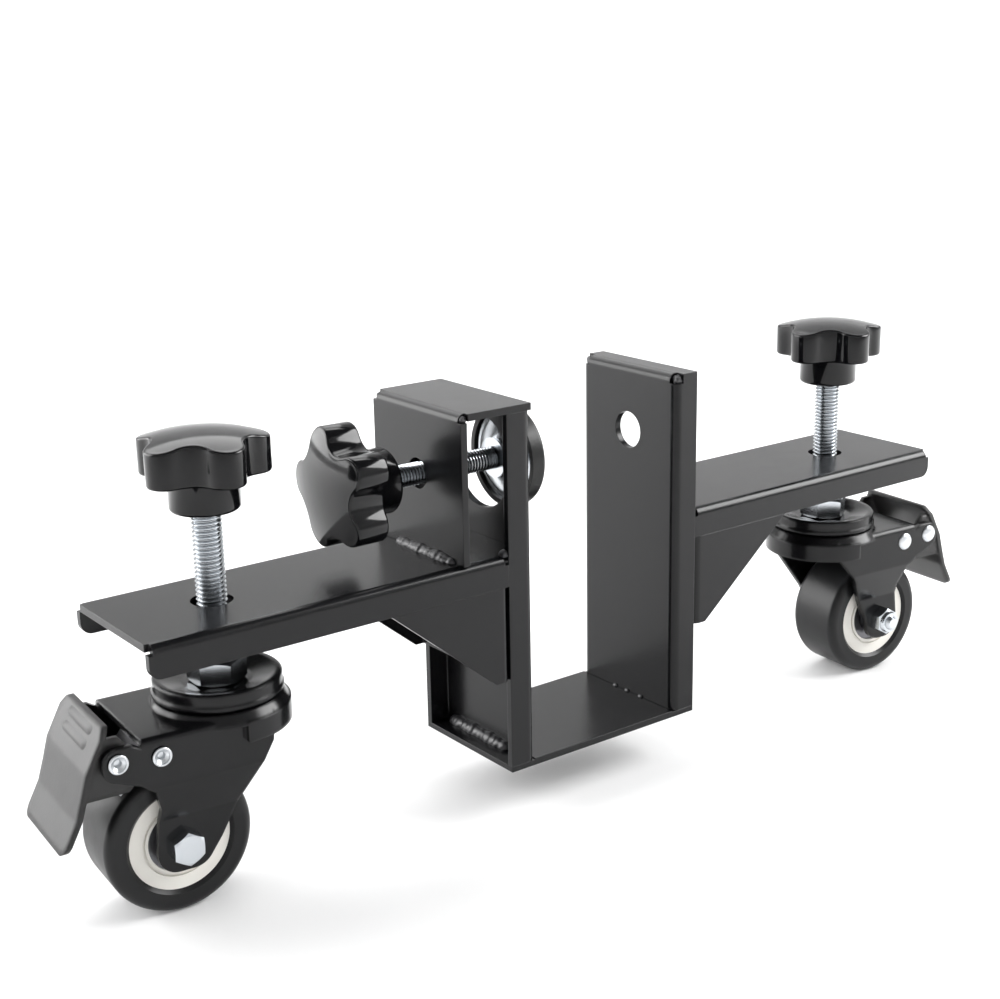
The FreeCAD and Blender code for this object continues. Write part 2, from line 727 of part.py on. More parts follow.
def clamp():
    """Knob, screw, nut, dished cup, rubber pad and retaining clip, about an axis along X."""
    along = (0, 1, 0)
    handle = knob("clamp_knob", "clamp_diameter", "clamp_thread_in_knob", "clamp_knob_turn")
    place(handle, (CLAMP_HUB, "0", CLAMP_Z), "-90", along)
    bore = "clamp_diameter + 2 * running_play"
    nut = hex_nut("clamp_nut", "clamp_nut_flats", "clamp_nut_height", bore)
    place(nut, ("-(%s)" % minus(BOX_FACE, "sheet_gauge"), "0", CLAMP_Z), "90", along)
    hub_back = minus(PAD_FACE, "cup_depth")
    shoulder = minus(hub_back, "spigot_play")
    floor = minus(PAD_FACE, "cup_rim_seat + 2 * cup_step + cup_gauge")
    clip = plus(floor, "spigot_play")
    screw_start = minus(CLAMP_HUB, "clamp_thread_in_knob")
    screw_end = plus(clip, "2 * clip_thickness")
    screw = new_body("clamp_screw")
    sketch = outline(sketch_on(screw, "XY_Plane", ("0", "0", CLAMP_Z)), [
        (screw_start, "0"),
        (screw_end, "0"),
        (screw_end, "spigot_diameter / 2"),
        (shoulder, "spigot_diameter / 2"),
        (minus(shoulder, "clamp_bevel"), "clamp_diameter / 2"),
        (plus(screw_start, "clamp_bevel"), "clamp_diameter / 2"),
        (screw_start, "clamp_diameter / 2 - clamp_bevel"),
    ])
    spin(screw, sketch, "H_Axis")
    place(screw)
    bore = "spigot_diameter / 2 + running_play"
    rim = "cup_rim_diameter / 2"
    step_width = "(cup_rim_diameter - cup_hub_diameter) / 2 / 4"
    seat = minus(PAD_FACE, "cup_rim_seat")
    back = [
        (seat, rim),
        (minus(seat, "cup_rim_thickness"), rim),
        (minus(seat, "cup_rim_thickness"), "%s - %s" % (rim, step_width)),
        (minus(seat, "cup_gauge + cup_step"), "%s - 2 * %s" % (rim, step_width)),
        (minus(seat, "cup_gauge + 2 * cup_step"), "%s - 3 * %s" % (rim, step_width)),
        (minus(seat, "2 * cup_gauge + 2 * cup_step"), "cup_hub_diameter / 2"),
        (hub_back, "cup_hub_diameter / 2"),
        (hub_back, bore),
    ]
    front = [
        (floor, bore),
        (floor, "cup_hub_diameter / 2 - cup_gauge / 2"),
        (minus(seat, "2 * cup_step"), "%s - 3.3 * %s" % (rim, step_width)),
        (minus(seat, "cup_step"), "%s - 2.3 * %s" % (rim, step_width)),
        (seat, "%s - 1.4 * %s" % (rim, step_width)),
    ]
    cup = new_body("clamp_cup")
    spin(cup, outline(sketch_on(cup, "XY_Plane", ("0", "0", CLAMP_Z)), back + front), "H_Axis")
    place(cup)
    pad_ring = new_body("clamp_pad")
    sketch = outline(sketch_on(pad_ring, "XY_Plane", ("0", "0", CLAMP_Z)), [
        (PAD_FACE, "pad_bore / 2"),
        (PAD_FACE, "pad_diameter / 2"),
        (minus(PAD_FACE, "pad_thickness"), "pad_diameter / 2"),
        (minus(PAD_FACE, "pad_thickness"), rim + " + seat_play"),
        (seat, rim + " + seat_play"),
        (seat, "pad_bore / 2"),
    ])
    spin(pad_ring, sketch, "H_Axis")
    fillet(pad_ring, "pad_round", [{"x": PAD_FACE, "z": plus(CLAMP_Z, "pad_diameter / 2")},
                                   {"x": PAD_FACE, "z": minus(CLAMP_Z, "pad_diameter / 2")},
                                   {"x": PAD_FACE, "y": "pad_diameter / 2"},
                                   {"x": PAD_FACE, "y": "-pad_diameter / 2"}])
    place(pad_ring)
    ring = new_body("clamp_clip")
    sketch = sketch_on(ring, "XY_Plane", ("0", "0", CLAMP_Z))
    bore = "spigot_diameter / 2 + seat_play"
    rectangle(sketch, clip, plus(clip, "clip_thickness"), bore, "clip_diameter / 2")
    spin(ring, sketch, "H_Axis")
    place(ring)


# Caster

def swivel_head(side):
    """The cap and washer that turn with the rod, and the balls that run between cap and fork."""
    bore = "rod_diameter / 2 + seat_play"
    cap = turned(side + "_swivel_cap", [
        (bore, CAP_BOTTOM),
        ("cap_radius - cap_edge", CAP_BOTTOM),
        ("cap_radius", plus(CAP_BOTTOM, "cap_edge")),
        ("cap_radius", plus(CAP_BOTTOM, "2 * cap_edge")),
        ("cap_radius - cap_edge / 2", plus(CAP_BOTTOM, "2.5 * cap_edge")),
        ("cap_radius - cap_edge / 2", minus(CAP_TOP, "cap_edge / 2")),
        ("cap_radius - cap_edge", CAP_TOP),
        ("cap_radius - cap_rim_width", CAP_TOP),
        ("cap_recess_radius", CAP_FLOOR),
        (bore, CAP_FLOOR),
    ])
    race(cap)
    under_arm(cap, side, turned=False)
    washer = turned(side + "_swivel_washer", [
        (bore, WASHER_BOTTOM),
        ("washer_radius", WASHER_BOTTOM),
        ("washer_radius", WASHER_TOP),
        (bore, WASHER_TOP),
    ])
    under_arm(washer, side, turned=False)
    balls = new_body(side + "_swivel_balls")
    sketch = half_disc(sketch_on(balls, "XZ_Plane", ("race_radius", BALL_Z, "0")), "ball_diameter")
    ball = spin(balls, sketch, "V_Axis")
    middle = sketch_on(balls, "XY_Plane")
    circle(middle, "0", "0", "race_radius")
    around(balls, ball, middle, "N_Axis", "ball_count")
    under_arm(balls, side, turned=False)


def half_disc(sketch, diameter):
    """Half a disc on the +x side of the sketch's upright axis."""
    radius = number(diameter) / 2
    quarter = 1.5707963267948966
    whole = Part.Circle(FreeCAD.Vector(0, 0, 0), FreeCAD.Vector(0, 0, 1), radius)
    arc = sketch.addGeometry(Part.ArcOfCircle(whole, -quarter, quarter), False)
    ends = (FreeCAD.Vector(0, radius, 0), FreeCAD.Vector(0, -radius, 0))
    line = sketch.addGeometry(Part.LineSegment(*ends), False)
    sketch.addConstraint(Sketcher.Constraint("Coincident", arc, 2, line, 1))
    sketch.addConstraint(Sketcher.Constraint("Coincident", line, 2, arc, 1))
    sketch.addConstraint(Sketcher.Constraint("Coincident", arc, 3, -1, 1))
    sketch.addConstraint(Sketcher.Constraint("PointOnObject", line, 1, -2))
    sketch.addConstraint(Sketcher.Constraint("PointOnObject", line, 2, -2))
    drive(sketch, "Diameter", arc, None, diameter)
    return sketch


def race(body):
    """The ring-shaped track of the swivel balls."""
    sketch = circle(sketch_on(body, "XZ_Plane"), "race_radius", BALL_Z, "ball_diameter + 2 * ball_play")
    groove(body, sketch, "V_Axis")


def from_axle(out, up):
    """A place in the caster's plane from its distances outward and upward of the axle."""
    return plus("trail", out), plus(AXLE_Z, up)


def joggle(body, sign):
    """Cuts a thick leg to sheet that steps inwards from the fork's width to the width at the axle."""
    high = "(wheel_diameter - joggle_under_tread)"
    low = "(%s - joggle_height)" % high
    under = minus(FORK_TOP, "fork_gauge")
    floor = "-fork_gauge"
    spare = "(leg_width / 2 - 2 * fork_gauge)"
    outside = [
        (FORK_HALF, high),
        (LEG_HALF, low),
        (LEG_HALF, floor),
        (plus(FORK_HALF, "fork_gauge"), floor),
        (plus(FORK_HALF, "fork_gauge"), high),
    ]
    inside = [
        (FORK_INSIDE, high),
        (LEG_INSIDE, low),
        (spare, low),
        (spare, under),
        (FORK_INSIDE, under),
    ]
    for corners in (outside, inside):
        corners = [("%s(%s)" % (sign, across), up) for across, up in corners]
        sketch = outline(sketch_on(body, "YZ_Plane"), corners)
        pocket(body, sketch, "4 * (trail + fork_top_back)", symmetric=True)


def fork(side):
    """The folded fork: a wide and a narrow leg, a flat top with a swivel dome, and a hood behind."""
    body = new_body(side + "_fork")
    tread = "wheel_diameter / 2"
    neck_up = "(%s - leg_neck_under_tread)" % tread
    root_up = "(%s + tab_root_over_tread)" % tread
    slope = "(fork_top_reach - leg_neck_out) / (tab_root_out - leg_neck_out)"
    tab_foot = "%s + (%s - %s) * %s" % (neck_up, root_up, neck_up, slope)
    shared = [
        from_axle("fork_top_reach", FORK_RISE),
        from_axle("fork_top_reach", tab_foot),
        from_axle("leg_neck_out", neck_up),
        from_axle("leg_waist_out", "leg_waist_up"),
        from_axle("leg_toe_out", "0"),
        from_axle("leg_toe_out", "-leg_toe_down"),
        from_axle("-leg_heel_in", "-leg_toe_down"),
    ]
    hood_bottom = minus(FORK_RISE, "hood_depth")
    wide = shared + [
        from_axle("-wide_low_in", "0"),
        from_axle("-wide_mid_in", "wide_mid_up"),
        from_axle("-wide_top_in", plus(tread, "wide_top_over_tread")),
        from_axle("-fork_top_back", FORK_RISE),
    ]
    narrow = shared + [
        from_axle("-narrow_low_in", "0"),
        from_axle("-narrow_mid_in", "narrow_mid_up"),
        from_axle("-narrow_neck_in", minus(tread, "narrow_neck_under_tread")),
        from_axle("-narrow_shoulder_in", hood_bottom),
        from_axle("-fork_top_back", hood_bottom),
        from_axle("-fork_top_back", FORK_RISE),
    ]
    tab = [
        from_axle("fork_top_reach", tab_foot),
        from_axle("tab_root_out", root_up),
        (plus(PIVOT[0], "tab_radius"), plus(PIVOT[1], "-tab_radius")),
        (plus(PIVOT[0], "tab_radius"), plus(PIVOT[1], "tab_radius")),
        (plus(PIVOT[0], "-tab_radius"), plus(PIVOT[1], "tab_radius")),
        from_axle("fork_top_reach", minus(FORK_RISE, "fork_bend + tab_dip")),
    ]
    thick = minus(FORK_HALF, LEG_INSIDE)
    pad(body, outline(sketch_on(body, "XZ_Plane", ("0", "0", "-" + FORK_HALF)), wide), thick)
    joggle(body, "")
    top = sketch_on(body, "XY_Plane", ("0", "0", minus(FORK_TOP, "fork_gauge")))
    rectangle(top, "trail - fork_top_back", "trail + fork_top_reach", "-" + FORK_HALF, FORK_HALF)
    pad(body, top, "fork_gauge")
    pad(body, outline(sketch_on(body, "XZ_Plane", ("0", "0", LEG_INSIDE)), narrow), thick)
    joggle(body, "-")
    fillet(body, "fork_bend", [{"y": sign + FORK_HALF, "z": FORK_TOP} for sign in ("", "-")])
    toe = minus(AXLE_Z, "leg_toe_down")
    toes = [{"x": plus("trail", out), "z": toe} for out in ("leg_toe_out", "-leg_heel_in")]
    fillet(body, "leg_toe_round", toes)
    for start in ("-" + FORK_HALF, FORK_INSIDE):
        pad(body, outline(sketch_on(body, "XZ_Plane", ("0", "0", start)), tab), "fork_gauge")
    tab_end = plus(PIVOT[0], "tab_radius")
    tips = [{"x": tab_end, "z": plus(PIVOT[1], sign + "tab_radius")} for sign in ("", "-")]
    fillet(body, "tab_radius * 0.96", tips)
    dome = sketch_on(body, "XZ_Plane")
    outline(dome, [
        ("0", DOME_UNDER),
        ("hood_radius", DOME_UNDER),
        ("hood_radius", minus(FORK_TOP, "fork_bend")),
        ("dome_top_radius", DOME_TOP),
        ("0", DOME_TOP),
    ])
    spin(body, dome, "V_Axis")
    hood = sketch_on(body, "XZ_Plane")
    low = minus(FORK_TOP, "hood_depth")
    outline(hood, [
        ("-hood_radius", low),
        ("-hood_radius + fork_gauge", low),
        ("-hood_radius + fork_gauge", plus(DOME_UNDER, "fork_gauge / 2")),
        ("-hood_radius", plus(DOME_UNDER, "fork_gauge / 2")),
    ])
    spin(body, hood, "V_Axis", 180)
    race(body)
    sketch = sketch_on(body, "XY_Plane", ("0", "0", DOME_TOP))
    circle(sketch, "0", "0", "rod_diameter + 2 * running_play")
    pocket(body, sketch, "2 * dome_thickness")
    for spot, bore in ((AXLE, "axle_diameter"), (PIVOT, "pin_diameter"), (BRAKE_PIN, "pin_diameter")):
        sketch = circle(sketch_on(body, "XZ_Plane"), spot[0], spot[1], "%s + 2 * seat_play" % bore)
        pocket(body, sketch, "2 * fork_width", symmetric=True)
    under_arm(body, side)


def rivet(side, label, spot):
    """A pin across the fork, with a domed head on one side and a flared end on the other."""
    head = plus(FORK_HALF, "pin_head_height")
    flare = plus(FORK_HALF, "pin_flare_height")
    body = turned_across(side + label, spot, [[
        ("0", "-(%s)" % head),
        ("pin_head_diameter * 0.28", "-(%s)" % minus(head, "pin_head_height * 0.15")),
        ("pin_head_diameter * 0.43", "-(%s)" % minus(head, "pin_head_height * 0.5")),
        ("pin_head_diameter / 2", "-" + FORK_HALF),
        ("pin_diameter / 2", "-" + FORK_HALF),
        ("pin_diameter / 2", FORK_HALF),
        ("pin_head_diameter * 0.45", FORK_HALF),
        ("pin_head_diameter * 0.43", flare),
        ("pin_flare_bore / 2", flare),
        ("pin_flare_bore * 0.4", FORK_HALF),
        ("0", FORK_HALF),
    ]])
    under_arm(body, side)


def from_pivot(out, up):
    """A place in the caster's plane from its distances outward and upward of the pedal's pin."""
    return plus(PIVOT[0], out), plus(PIVOT[1], up)


def pedal(side):
    """The brake pedal: a bent foot plate, two cheeks inside the fork and a cam bar between them."""
    body = new_body(side + "_pedal")
    face = [
        ("pedal_top_out", "pedal_top_up"),
        ("pedal_waist_out", "-pedal_waist_down"),
        ("pedal_bend_out", "-pedal_bend_down"),
        ("pedal_flare_out", "-pedal_flare_down"),
        ("pedal_lip_out", "-pedal_lip_down"),
    ]
    back = [(out + " - pedal_gauge", up) for out, up in reversed(face)]
    corners = [from_pivot(out, up) for out, up in face + back]
    pad(body, outline(sketch_on(body, "XZ_Plane"), corners), "pedal_width", symmetric=True)
    lip = plus(PIVOT[1], "-pedal_lip_down")
    crest = plus(PIVOT[1], "pedal_top_up")
    half = "pedal_width / 2"
    fillet(body, "pedal_lip_corner", [{"y": half, "z": lip}, {"y": "-" + half, "z": lip}])
    for sign in ("", "-"):
        taper = outline(sketch_on(body, "YZ_Plane"), [
            ("%s(%s)" % (sign, half), plus(PIVOT[1], "cheek_up")),
            ("%s(%s)" % (sign, plus(half, "pedal_gauge")), plus(PIVOT[1], "cheek_up")),
            ("%s(%s)" % (sign, plus(half, "pedal_gauge")), plus(crest, "pedal_gauge")),
            ("%s(%s)" % (sign, minus(half, "pedal_top_inset")), plus(crest, "pedal_gauge")),
            ("%s(%s)" % (sign, minus(half, "pedal_top_inset")), crest),
        ])
        pocket(body, taper, "4 * (trail + pivot_out)", symmetric=True)
    corner = minus(half, "pedal_top_inset")
    fillet(body, "pedal_top_corner", [{"y": sign + "(%s)" % corner, "z": crest} for sign in ("", "-")])
    slant = "(pedal_waist_out - pedal_top_out) / (pedal_top_up + pedal_waist_down)"
    upper = "pedal_top_out + (pedal_top_up - cheek_up) * " + slant
    band = [(upper, "cheek_up")] + face[1:3]
    band += [(out + " - pedal_gauge", up) for out, up in reversed(band)]
    corners = [from_pivot(out, up) for out, up in band]
    pad(body, outline(sketch_on(body, "XZ_Plane"), corners), "2 * " + CHEEK_HALF, symmetric=True)
    middle = "pedal_gauge / 2"
    cheek = [
        ("-cheek_back", "-cheek_down + cheek_corner"),
        ("-cheek_back + cheek_corner", "-cheek_down"),
        ("pedal_bend_out - " + middle, "-cheek_down"),
        ("pedal_bend_out - " + middle, "-pedal_bend_down"),
        ("pedal_waist_out - " + middle, "-pedal_waist_down"),
        ("%s - %s" % (upper, middle), "cheek_up"),
        ("-cheek_corner / 2", "cheek_up"),
        ("-cheek_back + cheek_corner / 2", "cheek_corner"),
        ("-cheek_back", "0"),
    ]
    corners = [from_pivot(out, up) for out, up in cheek]
    for start in ("-" + CHEEK_HALF, minus(CHEEK_HALF, "cheek_gauge")):
        pad(body, outline(sketch_on(body, "XZ_Plane", ("0", "0", start)), corners), "cheek_gauge")
    spot = from_pivot("-cam_back", "-cam_down")
    sketch = circle(sketch_on(body, "XZ_Plane"), spot[0], spot[1], "2 * cam_radius")
    pad(body, sketch, "2 * %s - cheek_gauge" % CHEEK_HALF, symmetric=True)
    sketch = circle(sketch_on(body, "XZ_Plane"), PIVOT[0], PIVOT[1], "pin_diameter + 2 * running_play")
    pocket(body, sketch, "fork_width", symmetric=True)
    under_arm(body, side)


def brake_shoe(side):
    """The block that the pedal's cam presses to the tread, hung on the brake pin."""
    body = new_body(side + "_brake_shoe")
    face = "(wheel_diameter / 2 + shoe_gap)"
    rear = "(wheel_diameter / 2 + shoe_gap + shoe_gauge)"
    angles = ["(shoe_start * 1 deg)", "((shoe_start + shoe_end) / 2 * 1 deg)", "(shoe_end * 1 deg)"]
    arc = [(face, angle) for angle in angles] + [(rear, angles[2])]
    corners = [from_axle("%s * sin(%s)" % spot, "%s * cos(%s)" % spot) for spot in arc]
    reach = "(cam_radius + cam_gap)"
    corners.append(from_pivot("-cam_back - %s * 0.8" % reach, "-cam_down - %s * 0.6" % reach))
    corners.append((plus(BRAKE_PIN[0], "shoe_eye * 0.7"), plus(BRAKE_PIN[1], "-shoe_eye * 0.42")))
    corners.append((plus(BRAKE_PIN[0], "-shoe_eye * 0.7"), plus(BRAKE_PIN[1], "-shoe_eye * 0.42")))
    pad(body, outline(sketch_on(body, "XZ_Plane"), corners), "shoe_width", symmetric=True)
    sketch = circle(sketch_on(body, "XZ_Plane"), BRAKE_PIN[0], BRAKE_PIN[1], "2 * shoe_eye")
    pad(body, sketch, "shoe_width", symmetric=True)
    sketch = sketch_on(body, "XZ_Plane")
    circle(sketch, BRAKE_PIN[0], BRAKE_PIN[1], "pin_diameter + 2 * running_play")
    pocket(body, sketch, "2 * shoe_width", symmetric=True)
    under_arm(body, side)


def axle(side):
    """The bolt, lock nut and sleeve that carry the wheel."""
    radius = "axle_diameter / 2"
    nut_end = plus(LEG_HALF, "axle_nut_height + axle_nut_collar")
    bolt = turned_across(side + "_axle_bolt", AXLE, [[
        ("0", "-(%s)" % plus(nut_end, "axle_end")),
        (radius + " - axle_end / 2", "-(%s)" % plus(nut_end, "axle_end")),
        (radius, "-(%s)" % nut_end),
        (radius, LEG_HALF),
        ("0", LEG_HALF),
    ]])
    head = hexagon(sketch_on(bolt, "XZ_Plane", ("0", "0", "-" + LEG_HALF)), AXLE[0], AXLE[1], "axle_flats")
    pad(bolt, head, "axle_head_height", reverse=True)
    cone = sketch_on(bolt, "XY_Plane", (AXLE[0], "0", AXLE[1]))
    bevel_corners(bolt, cone, True, "axle_flats", plus(LEG_HALF, "axle_head_height"), -1)
    under_arm(bolt, side)
    nut = new_body(side + "_axle_nut")
    sketch = hexagon(sketch_on(nut, "XZ_Plane", ("0", "0", LEG_HALF)), AXLE[0], AXLE[1], "axle_flats")
    pad(nut, sketch, "axle_nut_height")
    collar = sketch_on(nut, "XY_Plane", (AXLE[0], "0", AXLE[1]))
    collar_foot = "-(%s)" % plus(LEG_HALF, "axle_nut_height")
    outline(collar, [
        (radius, collar_foot),
        ("axle_flats * 0.46", collar_foot),
        ("axle_flats * 0.42", "-(%s)" % nut_end),
        (radius, "-(%s)" % nut_end),
    ])
    spin(nut, collar, "V_Axis")
    sketch = circle(sketch_on(nut, "XZ_Plane"), AXLE[0], AXLE[1], "axle_diameter + 2 * seat_play")
    pocket(nut, sketch, "2 * leg_width", symmetric=True)
    cone = sketch_on(nut, "XY_Plane", (AXLE[0], "0", AXLE[1]))
    bevel_corners(nut, cone, True, "axle_flats", collar_foot, 1)
    under_arm(nut, side)
    sleeve = turned_across(side + "_axle_sleeve", AXLE, [[
        (radius + " + seat_play", "-" + LEG_INSIDE),
        (radius + " + sleeve_wall", "-" + LEG_INSIDE),
        (radius + " + sleeve_wall", LEG_INSIDE),
        (radius + " + seat_play", LEG_INSIDE),
    ]])
    under_arm(sleeve, side)


def both_ends(corners):
    """A radius and y outline, and the same outline mirrored to the other end of the axle."""
    return [corners, [(radius, "-(%s)" % spot) for radius, spot in corners]]


def wheel(side):
    """Tyre, core and two ball bearings on the axle's sleeve."""
    outer = "core_width / 2 - bearing_inset"
    inner = outer + " - bearing_width"
    cone_bore = "axle_diameter / 2 + sleeve_wall + seat_play"
    cone_edge = "axle_diameter / 2 + sleeve_wall + cone_ring_wall"
    cup_edge = "bearing_diameter / 2"
    cones = turned_across(side + "_bearing_cones", AXLE, both_ends([
        (cone_bore, inner),
        (cone_edge, inner),
        (cone_edge, outer),
        (cone_bore, outer),
    ]))
    under_arm(cones, side)
    cups = turned_across(side + "_bearing_cups", AXLE, both_ends([
        (cup_edge + " - cup_ring_wall", inner),
        (cup_edge, inner),
        (cup_edge, outer),
        (cone_edge + " + shield_play", outer),
        (cone_edge + " + shield_play", outer + " - shield_gauge"),
        (cup_edge + " - cup_ring_wall", outer + " - shield_gauge"),
    ]))
    under_arm(cups, side)
    pitch = "(%s + %s - cup_ring_wall) / 2" % (cone_edge, cup_edge)
    middle = outer + " - bearing_width / 2"
    balls = new_body(side + "_bearing_balls")
    centre = sketch_on(balls, "XZ_Plane", (AXLE[0], AXLE[1], "0"))
    circle(centre, "0", "0", "bearing_diameter")
    for sign in ("", "-"):
        spot = (plus(AXLE[0], pitch), sign + "(%s)" % middle, AXLE_Z)
        ball = spin(balls, half_disc(sketch_on(balls, "XY_Plane", spot), "wheel_ball_diameter"), "V_Axis")
        around(balls, ball, centre, "N_Axis", "wheel_ball_count")
    under_arm(balls, side)
    face = "core_width / 2"
    rim = "wheel_diameter / 2 - tyre_wall"
    edge = rim + " - seat_play"
    groove_in = cup_edge + " + core_lip"
    groove_out = groove_in + " + core_groove_width"
    near = [
        (cup_edge + " + seat_play", face),
        (groove_in, face),
        (groove_in, face + " - core_groove_depth"),
        (groove_out, face + " - core_groove_depth"),
        (groove_out, face),
        (edge, face),
    ]
    far = [(radius, "-(%s)" % spot) for radius, spot in reversed(near)]
    core = turned_across(side + "_wheel_core", AXLE, [near + far])
    under_arm(core, side)
    wall = "wheel_width / 2"
    tread = "wheel_diameter / 2"
    tyre = turned_across(side + "_tyre", AXLE, [[
        (rim, "-" + face),
        (rim + " + (wheel_width - core_width) / 2", "-" + wall),
        (tread, "-" + wall),
        (tread, wall),
        (rim + " + (wheel_width - core_width) / 2", wall),
        (rim, face),
    ]])
    seams = [plus("trail", tread), minus("trail", tread)]
    fillet(tyre, "tread_round", [{"x": seam, "y": sign + wall} for seam in seams for sign in ("", "-")])
    under_arm(tyre, side)


base_plate()
upright("left", minus(UPRIGHT_TOP, "sheet_gauge"), "pad_hole")
upright("right", UPRIGHT_TOP, "sight_hole")
clamp_box()
clamp()
for hand in ("left", "right"):
    arm(hand)
    gusset(hand)
    lift_hardware(hand)
    swivel_head(hand)
    fork(hand)
    rivet(hand, "_pedal_pin", PIVOT)
    rivet(hand, "_brake_pin", BRAKE_PIN)
    pedal(hand)
    brake_shoe(hand)
    axle(hand)
    wheel(hand)

doc.recompute()
for item in doc.Objects:
    if "Invalid" in item.State or "Error" in item.State:
        raise RuntimeError("%s is in state %s" % (item.Label, item.State))
for body in parts:
    if body.Shape.isNull() or not body.Shape.isValid():
        raise RuntimeError("%s has no valid shape" % body.Label)

os.makedirs("parts", exist_ok=True)
for body in parts:
    body.Shape.exportStep("parts/%s.step" % body.Label)
    box = body.Shape.BoundBox
    print("%-22s solids %2d  volume %9.1f  x %.1f..%.1f  y %.1f..%.1f  z %.1f..%.1f" % (
        body.Label, len(body.Shape.Solids), body.Shape.Volume,
        box.XMin, box.XMax, box.YMin, box.YMax, box.ZMin, box.ZMax))
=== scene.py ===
import json
import math

import bmesh
import bpy
from mathutils import Matrix, Vector


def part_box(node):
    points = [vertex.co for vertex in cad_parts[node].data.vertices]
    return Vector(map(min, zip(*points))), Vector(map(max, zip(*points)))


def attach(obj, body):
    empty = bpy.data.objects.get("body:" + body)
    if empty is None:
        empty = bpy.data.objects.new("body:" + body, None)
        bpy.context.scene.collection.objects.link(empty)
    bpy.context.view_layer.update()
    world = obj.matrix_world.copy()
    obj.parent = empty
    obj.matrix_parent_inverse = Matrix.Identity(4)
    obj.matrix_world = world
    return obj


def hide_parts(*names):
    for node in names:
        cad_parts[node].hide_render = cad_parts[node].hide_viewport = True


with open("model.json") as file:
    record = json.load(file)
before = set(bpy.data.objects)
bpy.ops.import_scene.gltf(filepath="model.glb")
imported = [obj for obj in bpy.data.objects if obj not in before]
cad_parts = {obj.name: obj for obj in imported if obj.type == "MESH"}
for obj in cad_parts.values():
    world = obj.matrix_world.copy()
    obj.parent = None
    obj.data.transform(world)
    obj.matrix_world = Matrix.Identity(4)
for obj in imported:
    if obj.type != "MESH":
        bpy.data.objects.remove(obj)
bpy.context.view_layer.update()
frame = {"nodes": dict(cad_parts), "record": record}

# Lengths are in millimetres and angles in degrees, unless a comment says otherwise
MM = 0.001
X, Y, Z = 0, 1, 2
nodes = frame["nodes"]


# Materials: noise scales are per metre

TONE_SCALE = 60.0
ROUGH_SCALE = 2.3 * TONE_SCALE
NOISE_LOW = 0.3
NOISE_HIGH = 0.7
GRAIN_DETAIL = 2.0
GRAIN_DEPTH = 0.2
RAY_SAMPLES = 4


def new_material(name):
    """An empty node material: its tree, its shader and its object coordinates."""
    material = bpy.data.materials.new(name)
    material.use_nodes = True
    tree = material.node_tree
    shader = tree.nodes["Principled BSDF"]
    place = tree.nodes.new("ShaderNodeTexCoord")
    return material, tree, shader, place


def speckle(tree, place, scale, detail=3.0):
    """A noise pattern in the object's own space."""
    noise = tree.nodes.new("ShaderNodeTexNoise")
    noise.inputs["Scale"].default_value = scale
    noise.inputs["Detail"].default_value = detail
    tree.links.new(place.outputs["Object"], noise.inputs["Vector"])
    return noise.outputs["Fac"]


def spread(tree, noise, low, high):
    """The noise mapped to a range of values."""
    ramp = tree.nodes.new("ShaderNodeMapRange")
    ramp.inputs["From Min"].default_value = NOISE_LOW
    ramp.inputs["From Max"].default_value = NOISE_HIGH
    ramp.inputs["To Min"].default_value = low
    ramp.inputs["To Max"].default_value = high
    tree.links.new(noise, ramp.inputs["Value"])
    return ramp.outputs["Result"]


def toned(tree, place, color, tone):
    """A colour that drifts lighter and darker by a share."""
    mix = tree.nodes.new("ShaderNodeMix")
    mix.data_type = "RGBA"
    mix.inputs["A"].default_value = tuple(channel * (1 - tone) for channel in color) + (1.0,)
    mix.inputs["B"].default_value = tuple(min(1.0, channel * (1 + tone)) for channel in color) + (1.0,)
    tree.links.new(speckle(tree, place, TONE_SCALE), mix.inputs["Factor"])
    return mix.outputs["Result"]


def grooved(tree, color, reach):
    """A colour with painted shade: it darkens in grooves narrower than a reach."""
    groove = tree.nodes.new("ShaderNodeAmbientOcclusion")
    groove.samples = RAY_SAMPLES
    groove.inputs["Distance"].default_value = reach * MM
    tree.links.new(color, groove.inputs["Color"])
    return groove.outputs["Color"]


def softened(tree, radius):
    """Normals that round off the edges."""
    soft = tree.nodes.new("ShaderNodeBevel")
    soft.samples = RAY_SAMPLES
    soft.inputs["Radius"].default_value = radius * MM
    return soft.outputs["Normal"]


def grained(tree, place, scale, strength, normal):
    """Normals with a fine grain, on top of softened ones where there are any."""
    relief = tree.nodes.new("ShaderNodeBump")
    relief.inputs["Strength"].default_value = strength
    relief.inputs["Distance"].default_value = GRAIN_DEPTH * MM
    tree.links.new(speckle(tree, place, scale, GRAIN_DETAIL), relief.inputs["Height"])
    if normal:
        tree.links.new(normal, relief.inputs["Normal"])
    return relief.outputs["Normal"]


def finish_of(name, color, rough, rough_range=0.02, metallic=0.0, grain=900.0, bump=0.0, tone=0.12,
              ior=1.5, edge=0.0, groove_shade=0.0):
    """A procedural finish; edge is the rounding of edges and groove_shade the reach of the painted shade
    that darkens grooves.
    """
    material, tree, shader, place = new_material(name)
    shader.inputs["Metallic"].default_value = metallic
    shader.inputs["IOR"].default_value = ior
    if tone:
        shade = toned(tree, place, color, tone)
        # Painted shade: the colour darkens in grooves within this reach
        if groove_shade:
            shade = grooved(tree, shade, groove_shade)
        tree.links.new(shade, shader.inputs["Base Color"])
    else:
        shader.inputs["Base Color"].default_value = color + (1.0,)
    uneven = spread(tree, speckle(tree, place, ROUGH_SCALE), rough - rough_range, rough + rough_range)
    tree.links.new(uneven, shader.inputs["Roughness"])
    normal = softened(tree, edge) if edge else None
    if bump:
        normal = grained(tree, place, grain, bump, normal)
    if normal:
        tree.links.new(normal, shader.inputs["Normal"])
    return material


